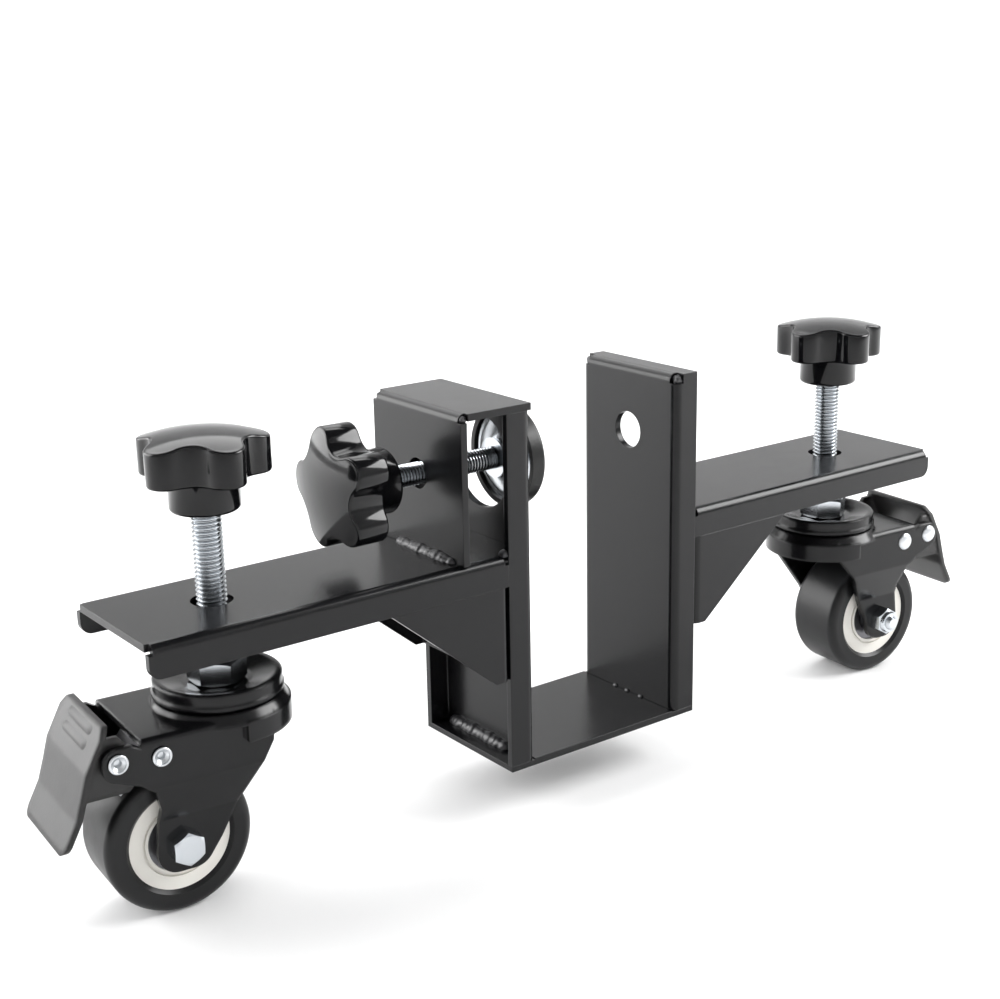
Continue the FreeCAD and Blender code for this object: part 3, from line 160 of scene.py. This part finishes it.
BLACK_STEEL = finish_of("satin black coat", (0.004, 0.004, 0.0046), 0.23, 0.012, bump=0.06,
                        grain=2200.0, ior=1.36, edge=0.5)
CASTER_BLACK = finish_of("caster black coat", (0.004, 0.004, 0.0045), 0.18, 0.02, bump=0.06,
                         ior=1.36, edge=1.5)
PEDAL_BLACK = finish_of("pedal coat", (0.008, 0.0075, 0.0075), 0.36, 0.02, bump=0.1,
                        grain=1200.0, ior=1.47, edge=3.0)
KNOB_PLASTIC = finish_of("polished black plastic", (0.003, 0.003, 0.0035), 0.10, ior=1.38)
RIVET = finish_of("plated rivet", (0.62, 0.64, 0.66), 0.34, 0.03, metallic=1.0, tone=0.04)
# Painted shade darkens the zinc's colour in its thread grooves
ZINC = finish_of("bright zinc", (0.60, 0.63, 0.66), 0.22, 0.04, metallic=1.0, bump=0.05,
                 grain=700.0, tone=0.06, groove_shade=1.2)
BRAKE_STEEL = finish_of("plain steel", (0.32, 0.32, 0.33), 0.38, 0.06, metallic=1.0, bump=0.2)
BEARING = finish_of("bearing steel", (0.16, 0.16, 0.17), 0.34, 0.05, metallic=0.9, tone=0.1)
PAD_RUBBER = finish_of("pad rubber", (0.005, 0.005, 0.005), 0.36, 0.03, bump=0.15, grain=1100.0, ior=1.4)
CORE = finish_of("off-white plastic", (0.76, 0.74, 0.69), 0.5, 0.05, bump=0.1, grain=500.0, tone=0.03)
TYRE = finish_of("tyre polyurethane", (0.007, 0.007, 0.0075), 0.36, 0.03, bump=0.1, grain=500.0, ior=1.36)
WELD = finish_of("painted weld", (0.030, 0.030, 0.032), 0.34, 0.05, bump=0.15, grain=600.0)

FINISH_OF_SLOT = {
    "black_steel": BLACK_STEEL,
    "caster_black": CASTER_BLACK,
    "pedal_black": PEDAL_BLACK,
    "knob_plastic": KNOB_PLASTIC,
    "zinc_steel": ZINC,
    "brake_steel": BRAKE_STEEL,
    "bearing_steel": BEARING,
    "pad_rubber": PAD_RUBBER,
    "core_plastic": CORE,
    "tyre_rubber": TYRE,
}
SLOT_OF_NODE = {entry["node"]: entry["material_slot"] for entry in frame["record"]["subparts"]}


def dress(obj, material):
    """Gives a mesh one material."""
    obj.data.materials.clear()
    obj.data.materials.append(material)


for name, obj in nodes.items():
    dress(obj, FINISH_OF_SLOT[SLOT_OF_NODE[name]])


# Shapes: functions that make points in millimetres, and faces between them

MERGE_DISTANCE = 0.0001


def add_mesh(name, points, faces, material, sharp_angle=35.0):
    """A smooth mesh object from points, with its edges sharp above an angle."""
    mesh = bpy.data.meshes.new(name)
    mesh.from_pydata([Vector(point) * MM for point in points], [], faces)
    mesh.validate()
    work = bmesh.new()
    work.from_mesh(mesh)
    bmesh.ops.remove_doubles(work, verts=work.verts, dist=MERGE_DISTANCE * MM)
    bmesh.ops.recalc_face_normals(work, faces=work.faces)
    work.to_mesh(mesh)
    work.free()
    obj = bpy.data.objects.new(name, mesh)
    bpy.context.scene.collection.objects.link(obj)
    mesh.shade_smooth()
    mesh.set_sharp_from_angle(angle=math.radians(sharp_angle))
    dress(obj, material)
    return obj


def grid_faces(rows, columns, closed=True):
    """Quads of a grid of points, row after row; closed joins the last column to the first."""
    faces = []
    for row in range(rows - 1):
        low = row * columns
        high = low + columns
        for column in range(columns if closed else columns - 1):
            following = (column + 1) % columns
            faces.append((low + column, low + following, high + following, high + column))
    return faces


def quarter(steps):
    """Angles of a quarter turn in equal steps, in radians."""
    return [math.radians(90) * step / steps for step in range(steps + 1)]


def turned(profile, steps=64):
    """Points and faces of a turned shape about Z, from (radius, height) pairs."""
    points = []
    for radius, height in profile:
        for step in range(steps):
            angle = 2 * math.pi * step / steps
            points.append((radius * math.cos(angle), radius * math.sin(angle), height))
    return points, grid_faces(len(profile), steps)


def joined(pieces):
    """Several lists of points and faces as one."""
    points = []
    faces = []
    for more_points, more_faces in pieces:
        first = len(points)
        points += more_points
        faces += [tuple(first + index for index in face) for face in more_faces]
    return points, faces


def moved(points, matrix):
    """The points through a matrix."""
    return [tuple(matrix @ Vector(point)) for point in points]


# Places taken from the frame

def span(node, axis):
    """Lowest and highest place of a CAD node along an axis."""
    low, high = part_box(node)
    return low[axis] / MM, high[axis] / MM


def middle(node, axis):
    """Middle of a CAD node along an axis."""
    low, high = span(node, axis)
    return (low + high) / 2


ARM_TOP = span("left_arm", Z)[1]
BASE_TOP = span("base_plate", Z)[1]
BOX_FACE = span("clamp_box", X)[0]
LEFT_WEB_BACK = span("left_arm", X)[1]
LEFT_FLANGE_EDGE = span("left_upright", X)[0]
RIGHT_WEB = span("right_upright", X)[0]
DEPTH_HALF = span("right_upright", Y)[1]
UPRIGHT_TOP = span("right_upright", Z)[1]
CLAMP_Z = middle("clamp_screw", Z)
CLAMP_HUB = span("clamp_knob", X)[1]
ROD_X = middle("right_lift_screw", X)
KNOB_SEAT = span("left_lift_knob", Z)[0]
PIVOT_HEIGHT = middle("left_pedal_pin", Z)
SHOE_HEIGHT = middle("left_brake_pin", Z)

CASTER_TURN = -4.6
# Side, place of its rod along X, and the way its caster points
CASTERS = (
    ("left", -ROD_X, 180.0 + CASTER_TURN),
    ("right", ROD_X, CASTER_TURN),
)


# Hand screws with real threads

THREAD_STEPS = 40
# Depth as a share of the pitch
THREAD_DEPTH_SHARE = 0.54
# Shares of the pitch along the screw, and of the depth below its crest
THREAD_FORM = ((0.0, 0.0), (0.12, 0.0), (0.5, 1.0), (0.62, 1.0))
ROD_RADIUS = 5.0
ROD_PITCH = 1.5
ROD_HEAD = 6.5
ROD_NECK_DEPTH = 0.8
ROD_NECK_RISE = 0.4
ROD_TAPER = 0.2
CLAMP_RADIUS = 4.0
CLAMP_PITCH = 1.25
CLAMP_TAPER = 0.1
SPIGOT_RADIUS = 3.0
SPIGOT_PLAY = 0.2
END_DEPTH = 0.7
END_BEVEL = 0.6
END_LENGTH = 1.5 * END_BEVEL


def thread(radius, pitch, low, high):
    """Points and faces of a screw thread about Z between two heights."""
    depth = THREAD_DEPTH_SHARE * pitch
    turns = int(math.ceil((high - low) / pitch)) + 2
    points = []
    for turn in range(-1, turns):
        for share, sunk in THREAD_FORM:
            here = radius - depth * sunk
            for step in range(THREAD_STEPS + 1):
                height = low + (turn + share + step / THREAD_STEPS) * pitch
                angle = 2 * math.pi * step / THREAD_STEPS
                level = min(max(height, low), high)
                points.append((here * math.cos(angle), here * math.sin(angle), level))
    rows = len(points) // (THREAD_STEPS + 1)
    return points, grid_faces(rows, THREAD_STEPS + 1, closed=False)


def add_lift_screw(side, x):
    """Rod of one caster: head, plain shank and thread."""
    low, high = span(side + "_lift_screw", Z)
    head_top = span(side + "_swivel_washer", Z)[0]
    shank_top = span(side + "_stem_nut", Z)[0]
    core = ROD_RADIUS - END_DEPTH
    foot = turned([(0.0, low), (ROD_HEAD, low), (ROD_HEAD, head_top), (ROD_RADIUS, head_top),
                   (ROD_RADIUS, shank_top), (ROD_RADIUS - ROD_NECK_DEPTH, shank_top + ROD_NECK_RISE)])
    screw = thread(ROD_RADIUS, ROD_PITCH, shank_top, high - END_BEVEL)
    end = turned([(core, high - END_LENGTH), (core - ROD_TAPER, high), (0.0, high)])
    points, faces = joined([foot, screw, end])
    obj = add_mesh(side + "_rod", moved(points, Matrix.Translation((x, 0, 0))), faces, ZINC)
    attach(obj, side + "_screw")
    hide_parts(side + "_lift_screw")


def add_clamp_screw():
    """Clamp screw: thread with a plain spigot at the pad."""
    low, high = span("clamp_screw", X)
    shoulder = span("clamp_cup", X)[0] - SPIGOT_PLAY
    core = CLAMP_RADIUS - END_DEPTH
    start = turned([(0.0, low), (core - CLAMP_TAPER, low), (core, low + END_LENGTH)])
    screw = thread(CLAMP_RADIUS, CLAMP_PITCH, low + END_BEVEL, shoulder - END_BEVEL)
    spigot = turned([(core, shoulder - END_LENGTH), (core, shoulder), (SPIGOT_RADIUS, shoulder),
                     (SPIGOT_RADIUS, high), (0.0, high)])
    points, faces = joined([start, screw, spigot])
    along_x = Matrix.Translation((0, 0, CLAMP_Z)) @ Matrix.Rotation(math.radians(90), 4, "Y")
    obj = add_mesh("clamp_rod", moved(points, along_x), faces, ZINC)
    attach(obj, "clamp_screw")
    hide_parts("clamp_screw")


for side, x, turn in CASTERS:
    add_lift_screw(side, x)
add_clamp_screw()


# Knobs

LOBES = 5
LOBE_STEPS = 16
KNOB_RADIUS = 22.0
KNOB_VALLEY = 15.6
KNOB_LOBE = 6.4
KNOB_CREST = 26.1
KNOB_CROWN = 3.6
KNOB_EDGE = 1.0
KNOB_UNDERSIDE = 6.0
EDGE_MIDDLE = 0.29 * KNOB_EDGE
EDGE_STEPS = 6
DOME_STEPS = 18
HUB_RADIUS = 11.5
HUB_HEIGHT = 10.8
HUB_EDGE = 1.5
HUB_STEPS = 96
# Out from the hub's side and up from its top, where it flares into the knob
HUB_FLARE = ((0.0, -0.5), (0.4, -0.1), (0.9, 0.05))
BORE_RADIUS = 4.1
BORE_BEVEL = 0.2
SEAT_RADIUS = 5.6
KNOB_SHARP = 50.0
LEFT_KNOB_TURN = 0.0
RIGHT_KNOB_TURN = -10.0
CLAMP_KNOB_TURN = 31.0


def lobed_outline(first):
    """Points and outward normals of the lobes, joined by tangent hollows."""
    half_pitch = 180 / LOBES
    reach = KNOB_RADIUS - KNOB_LOBE
    slack = KNOB_LOBE - KNOB_VALLEY
    stand = (reach ** 2 - slack ** 2) / 2 / (reach * math.cos(math.radians(half_pitch)) + slack)
    hollow = stand - KNOB_VALLEY
    outline = []
    centres = []
    for step in range(2 * LOBES):
        angle = math.radians(first - 90 + half_pitch * step)
        far = reach if step % 2 == 0 else stand
        centres.append(Vector((far * math.cos(angle), far * math.sin(angle))))
    for step, centre in enumerate(centres):
        before = centres[step - 1] - centre
        after = centres[(step + 1) % len(centres)] - centre
        start = math.atan2(before.y, before.x)
        end = math.atan2(after.y, after.x)
        convex = step % 2 == 0
        if convex and end < start:
            end += 2 * math.pi
        if not convex and end > start:
            end -= 2 * math.pi
        size = KNOB_LOBE if convex else hollow
        for part in range(LOBE_STEPS):
            angle = start + (end - start) * part / LOBE_STEPS
            way = Vector((math.cos(angle), math.sin(angle)))
            outline.append((centre + way * size, way if convex else -way))
    return outline


def dome(radius):
    """Height of the knob's domed top at a distance from its axis."""
    return KNOB_CREST - KNOB_CROWN * (radius / KNOB_RADIUS) ** 2


def knob_head(first):
    """Points and faces of the lobed head: underside, sides, rounded edge and domed top."""
    outline = lobed_outline(first)
    shoulder = [spot - normal * KNOB_EDGE for spot, normal in outline]
    underside = ((KNOB_UNDERSIDE, 0.0), (KNOB_EDGE, 0.0), (EDGE_MIDDLE, EDGE_MIDDLE), (0.0, KNOB_EDGE))
    points = []
    for inset, rise in underside:
        for spot, normal in outline:
            inner = spot - normal * inset
            points.append((inner.x, inner.y, HUB_HEIGHT + rise))
    for angle in quarter(EDGE_STEPS):
        for (spot, normal), inner in zip(outline, shoulder):
            here = inner + normal * (KNOB_EDGE * math.cos(angle))
            height = dome(inner.length) - KNOB_EDGE * (1 - math.sin(angle))
            points.append((here.x, here.y, height))
    for step in range(1, DOME_STEPS + 1):
        for inner in shoulder:
            here = inner * (1 - step / DOME_STEPS)
            points.append((here.x, here.y, dome(here.length)))
    return points, grid_faces(len(points) // len(outline), len(outline))


def knob_hub():
    """Points and faces of the hub: bevelled bore, rounded foot and flare."""
    profile = [(BORE_RADIUS, BORE_BEVEL), (SEAT_RADIUS, 0.0)]
    for angle in quarter(EDGE_STEPS):
        profile.append((HUB_RADIUS - HUB_EDGE * (1 - math.sin(angle)), HUB_EDGE * (1 - math.cos(angle))))
    profile += [(HUB_RADIUS + out, HUB_HEIGHT + up) for out, up in HUB_FLARE]
    return turned(profile, HUB_STEPS)


def add_knob(name, first, matrix, body, node):
    """One smooth knob, with its first lobe turned by an angle."""
    points, faces = joined([knob_head(first), knob_hub()])
    obj = add_mesh(name, moved(points, matrix), faces, KNOB_PLASTIC, KNOB_SHARP)
    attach(obj, body)
    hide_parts(node)


ON_LEFT_ROD = Matrix.Translation((-ROD_X, 0, KNOB_SEAT))
ON_RIGHT_ROD = Matrix.Translation((ROD_X, 0, KNOB_SEAT))
ON_CLAMP = Matrix.Translation((CLAMP_HUB, 0, CLAMP_Z)) @ Matrix.Rotation(math.radians(-90), 4, "Y")
add_knob("left_hand_knob", LEFT_KNOB_TURN, ON_LEFT_ROD, "left_screw", "left_lift_knob")
add_knob("right_hand_knob", RIGHT_KNOB_TURN, ON_RIGHT_ROD, "right_screw", "right_lift_knob")
add_knob("clamp_hand_knob", CLAMP_KNOB_TURN, ON_CLAMP, "clamp_screw", "clamp_knob")


# Weld beads of the cradle: names that say share are shares of the bead's size

BEAD_RIPPLE = 2.6
BEAD_STEP = 0.3
BEAD_ARC_STEPS = 10
BEAD_ARC_START = -12.0
BEAD_ARC_SWEEP = 114.0
BEAD_LEAN_SHARE = 0.45
BEAD_TIP_SHARE = 0.02
BEAD_BODY_SHARE = 0.84
BEAD_WAVE_SHARE = 0.07
BEAD_ROOT_SHARE = 0.1
# Share of the size, radians a millimetre and radians at the start
BEAD_DRIFT = ((0.09, 0.55, 0.0), (0.05, 1.3, 1.0))
BEAD_END_POWER = 8
BEAD_SHARP = 75.0
# Name, corner along X and Z, first and last place along Y, and size
BEADS = (
    ("box_weld", (BOX_FACE, ARM_TOP), (14.0, -21.0), 2.5),
    ("left_foot_weld", (LEFT_WEB_BACK, BASE_TOP), (22.0, -14.0), 2.9),
    ("left_arm_weld", (LEFT_FLANGE_EDGE, ARM_TOP), (-22.5, -26.0), 2.0),
)
SPOT_PLACES = (8.0, 1.0, -7.0)
SPOT_LENGTH = 2.2
SPOT_SIZE = 0.8


def add_bead(name, corner, reach, size):
    """A bead with crescent ripples along Y, in the corner of a floor and a wall that faces -X."""
    x, z = corner
    first, last = reach
    length = abs(last - first)
    count = int(length / BEAD_STEP)
    points = []
    for station in range(count + 1):
        share = station / count
        along = share * length
        y = first + (last - first) * share
        ends = max(0.0, 1 - abs(2 * share - 1) ** BEAD_END_POWER) ** 0.5
        drift = sum(part * math.sin(rate * along + start) for part, rate, start in BEAD_DRIFT)
        for step in range(BEAD_ARC_STEPS + 1):
            angle = math.radians(BEAD_ARC_START + BEAD_ARC_SWEEP * step / BEAD_ARC_STEPS)
            lean = BEAD_LEAN_SHARE * size * math.sin(math.pi * step / BEAD_ARC_STEPS)
            wave = abs(math.sin(math.pi * (along - lean) / BEAD_RIPPLE))
            bulge = BEAD_BODY_SHARE + BEAD_WAVE_SHARE * wave + drift
            radius = size * (BEAD_TIP_SHARE + ends * bulge)
            points.append((x - radius * math.cos(angle), y, z + radius * math.sin(angle)))
        points.append((x + BEAD_ROOT_SHARE * size, y, z - BEAD_ROOT_SHARE * size))
    faces = grid_faces(count + 1, BEAD_ARC_STEPS + 2)
    bead = add_mesh(name, points, faces, WELD, BEAD_SHARP)
    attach(bead, "frame")


for bead in BEADS:
    add_bead(*bead)
for place in SPOT_PLACES:
    add_bead("right_foot_spot", (RIGHT_WEB, BASE_TOP), (place, place - SPOT_LENGTH), SPOT_SIZE)


# Weld drops in the bend reliefs

RELIEF = 4.2
DROP_ROWS = 10
DROP_AROUND = 24
DROP_SHARP = 80.0
# Share of the size, and waves around and along the drop
DROP_WAVES = ((0.10, 3, 2), (0.06, 5, -3))
# Name, face, and shares of the relief: in from the face, in from the side, down from the top, and size
DROPS = (
    ("upright_corner_weld", RIGHT_WEB, 0.62, 0.5, 0.58, 0.42),
    ("box_corner_weld", BOX_FACE, 0.42, 0.4, 0.5, 0.3),
)


def add_drop(name, centre, size):
    """An uneven drop of weld that fills a bend relief."""
    x, y, z = centre
    points = []
    for row in range(DROP_ROWS + 1):
        tilt = math.pi * row / DROP_ROWS
        for step in range(DROP_AROUND):
            angle = 2 * math.pi * step / DROP_AROUND
            swell = sum(part * math.sin(around * angle + along * tilt) for part, around, along in DROP_WAVES)
            reach = size * (1 + swell)
            flat = reach * math.sin(tilt)
            spot = (x + flat * math.cos(angle), y + flat * math.sin(angle), z + reach * math.cos(tilt))
            points.append(spot)
    drop = add_mesh(name, points, grid_faces(DROP_ROWS + 1, DROP_AROUND), WELD, DROP_SHARP)
    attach(drop, "frame")


for edge in (DEPTH_HALF, -DEPTH_HALF):
    for name, face, inward, sideways, down, size in DROPS:
        y = edge - math.copysign(RELIEF * sideways, edge)
        add_drop(name, (face + RELIEF * inward, y, UPRIGHT_TOP - RELIEF * down), RELIEF * size)


# Rivets of the forks

PIVOT_OUT = 42.3
SHOE_OUT = 28.3
FORK_HALF = 21.0
PIN_RADIUS = 1.8
HEAD_RADIUS = 3.6
HEAD_RISE = 1.5
HEAD_STEPS = 8
FLARE_RADIUS = 3.24
FLARE_RISE = 1.0
ROLL_RADIUS = 0.14 * FLARE_RADIUS
ROLL_START = -10.0
ROLL_SWEEP = 200.0
ROLL_STEPS = 8
RIVET_STEPS = 40
# Share of the flare's radius, and height over the fork's side, down the hollow end
HOLLOW_FORM = ((0.66, 0.3), (0.4, -0.3), (0.3, -1.5), (0.0, -1.5))


def rivet_profile():
    """Radius and height along a rivet: low domed head, pin and rolled, hollow end."""
    profile = []
    for angle in quarter(HEAD_STEPS):
        profile.append((HEAD_RADIUS * math.sin(angle), -FORK_HALF - HEAD_RISE * math.cos(angle)))
    profile += [(PIN_RADIUS, -FORK_HALF), (PIN_RADIUS, FORK_HALF)]
    for step in range(ROLL_STEPS + 1):
        angle = math.radians(ROLL_START + ROLL_SWEEP * step / ROLL_STEPS)
        radius = FLARE_RADIUS - ROLL_RADIUS + ROLL_RADIUS * math.cos(angle)
        profile.append((radius, FORK_HALF + FLARE_RISE - ROLL_RADIUS + ROLL_RADIUS * math.sin(angle)))
    profile += [(FLARE_RADIUS * share, FORK_HALF + rise) for share, rise in HOLLOW_FORM]
    return profile


def add_rivet(side, label, x, turn, out, height):
    """One rivet across a fork, in place of a pin."""
    points, faces = turned(rivet_profile(), RIVET_STEPS)
    caster = Matrix.Translation((x, 0, 0)) @ Matrix.Rotation(math.radians(turn), 4, "Z")
    across = Matrix.Translation((out, 0, height)) @ Matrix.Rotation(math.radians(-90), 4, "X")
    obj = add_mesh(side + label + "_rivet", moved(points, caster @ across), faces, RIVET)
    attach(obj, side + "_swivel")
    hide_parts(side + label)


for side, x, turn in CASTERS:
    add_rivet(side, "_pedal_pin", x, turn, PIVOT_OUT, PIVOT_HEIGHT)
    add_rivet(side, "_brake_pin", x, turn, SHOE_OUT, SHOE_HEIGHT)


# Pressed ribs of the pedals: crest and waist are places of the upper face, out and up from the pivot

PEDAL_CREST = Vector((2.6, 11.0))
PEDAL_WAIST = Vector((9.6, -2.5))
RIB_PLACES = (3.2, 8.1)
RIB_HALF = 9.0
RIB_WIDTH = 2.0
RIB_HEIGHT = 0.75
RIB_SINK = 0.03
RIB_ROWS = 6
RIB_AROUND = 20
RIB_SHARP = 60.0


def rib(along):
    """One rib at a distance below the crest, with X out from the rod and Z up from the pivot."""
    down = (PEDAL_WAIST - PEDAL_CREST).normalized()
    out = Vector((-down.y, down.x))
    foot = PEDAL_CREST + down * along
    points = []
    for row in range(RIB_ROWS + 1):
        reach = 1 - row / RIB_ROWS
        rise = RIB_HEIGHT * math.cos(math.radians(90) * reach) ** 2 - RIB_SINK
        for step in range(RIB_AROUND):
            angle = 2 * math.pi * step / RIB_AROUND
            rib_end = RIB_HALF if math.cos(angle) > 0 else -RIB_HALF
            y = rib_end + RIB_WIDTH * reach * math.cos(angle)
            spot = foot + down * (RIB_WIDTH * reach * math.sin(angle)) + out * rise
            points.append((PIVOT_OUT + spot.x, y, spot.y))
    return points, grid_faces(RIB_ROWS + 1, RIB_AROUND)


def add_ribs(side, x, turn):
    """The ribs across the upper face of one pedal."""
    points, faces = joined([rib(along) for along in RIB_PLACES])
    place = Matrix.Translation((x, 0, PIVOT_HEIGHT)) @ Matrix.Rotation(math.radians(turn), 4, "Z")
    ribs = add_mesh(side + "_pedal_ribs", moved(points, place), faces, PEDAL_BLACK, RIB_SHARP)
    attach(ribs, side + "_pedal")


for side, x, turn in CASTERS:
    add_ribs(side, x, turn)


# Stage

FLOOR_COLOR = (0.86, 0.86, 0.86)
FLOOR_ROUGH = 0.7
FLOOR_REACH = 1700.0
FLOOR_INNER = 0.5 * FLOOR_REACH
SWEEP_RADIUS = 1000.0
SWEEP_TOP = 3000.0
SWEEP_STEPS = 16
SWEEP_AROUND = 96


def add_sweep():
    """A pale floor that curves up all round."""
    profile = [(0.0, 0.0), (FLOOR_INNER, 0.0)]
    for angle in quarter(SWEEP_STEPS):
        profile.append((FLOOR_REACH + SWEEP_RADIUS * math.sin(angle), SWEEP_RADIUS * (1 - math.cos(angle))))
    profile.append((FLOOR_REACH + SWEEP_RADIUS, SWEEP_TOP))
    points, faces = turned(profile, SWEEP_AROUND)
    floor = add_mesh("floor", points, faces, finish_of("pale sweep", FLOOR_COLOR, FLOOR_ROUGH, tone=0.0))


add_sweep()


# Light: name, place, target and width by height in metres, and power in watts

LAMPS = (
    ("overhead", (0.2, 1.15, 1.6), (0.1, 0.3, 0.0), (2.0, 1.6), 25.0),
    ("backdrop", (0.6, 0.9, 1.9), (1.3, 1.9, 0.5), (1.6, 1.0), 14.0),
    ("left_back", (-1.15, 1.1, 0.5), (-0.3, 0.2, 0.05), (1.5, 0.9), 24.0),
    ("right_front", (1.0, -0.5, 0.75), (0.45, -0.35, 0.0), (0.8, 0.8), 24.0),
    ("left_floor", (-0.95, 0.75, 0.9), (-0.75, 0.55, 0.0), (0.7, 0.7), 8.0),
    ("front_wash", (-0.6, -0.9, 1.9), (-1.3, -1.9, 0.5), (1.6, 1.0), 2.0),
    ("front_fill", (-0.3, -1.7, 0.6), (0.0, 0.0, 0.06), (1.2, 0.6), 0.8),
)
SKY_COLOR = (0.95, 0.97, 1.0)
SKY_STRENGTH = 0.12


def add_lamp(name, place, target, size, power):
    """A soft rectangular lamp that faces a target."""
    lamp = bpy.data.lights.new(name, "AREA")
    lamp.shape = "RECTANGLE"
    lamp.size, lamp.size_y = size
    lamp.energy = power
    obj = bpy.data.objects.new(name, lamp)
    way = Vector(target) - Vector(place)
    obj.rotation_euler = way.to_track_quat("-Z", "Y").to_euler()
    obj.location = place
    bpy.context.scene.collection.objects.link(obj)


def add_sky():
    """An even, dim light from all round."""
    world = bpy.data.worlds.new("studio")
    bpy.context.scene.world = world
    world.use_nodes = True
    background = world.node_tree.nodes["Background"]
    background.inputs["Color"].default_value = SKY_COLOR + (1.0,)
    background.inputs["Strength"].default_value = SKY_STRENGTH


for lamp in LAMPS:
    add_lamp(*lamp)
add_sky()


# Camera, fitted to the photograph's straight edges

CAMERA_AZIMUTH = -36.785
CAMERA_ELEVATION = 16.1
CAMERA_ROLL = -1.084
CAMERA_PLACE = Vector((-369.96, -457.98, 275.9))
CAMERA_LENS = 59.472
SENSOR_WIDTH = 36.0
CLIP_START = 10.0


def add_camera():
    """The photograph's point of view."""
    azimuth = math.radians(CAMERA_AZIMUTH)
    elevation = math.radians(CAMERA_ELEVATION)
    roll = math.radians(CAMERA_ROLL)
    level = math.cos(elevation)
    back = Vector((math.sin(azimuth) * level, -math.cos(azimuth) * level, math.sin(elevation)))
    right = Vector((math.cos(azimuth), math.sin(azimuth), 0.0))
    up = back.cross(right)
    across = right * math.cos(roll) + up * math.sin(roll)
    above = up * math.cos(roll) - right * math.sin(roll)
    turn = Matrix((across, above, back)).transposed()
    camera = bpy.data.cameras.new("camera")
    camera.lens = CAMERA_LENS
    camera.sensor_width = SENSOR_WIDTH
    camera.clip_start = CLIP_START * MM
    obj = bpy.data.objects.new("camera", camera)
    obj.matrix_world = Matrix.Translation(CAMERA_PLACE * MM) @ turn.to_4x4()
    bpy.context.scene.collection.objects.link(obj)
    bpy.context.scene.camera = obj


add_camera()
bpy.context.scene.view_settings.view_transform = "Standard"
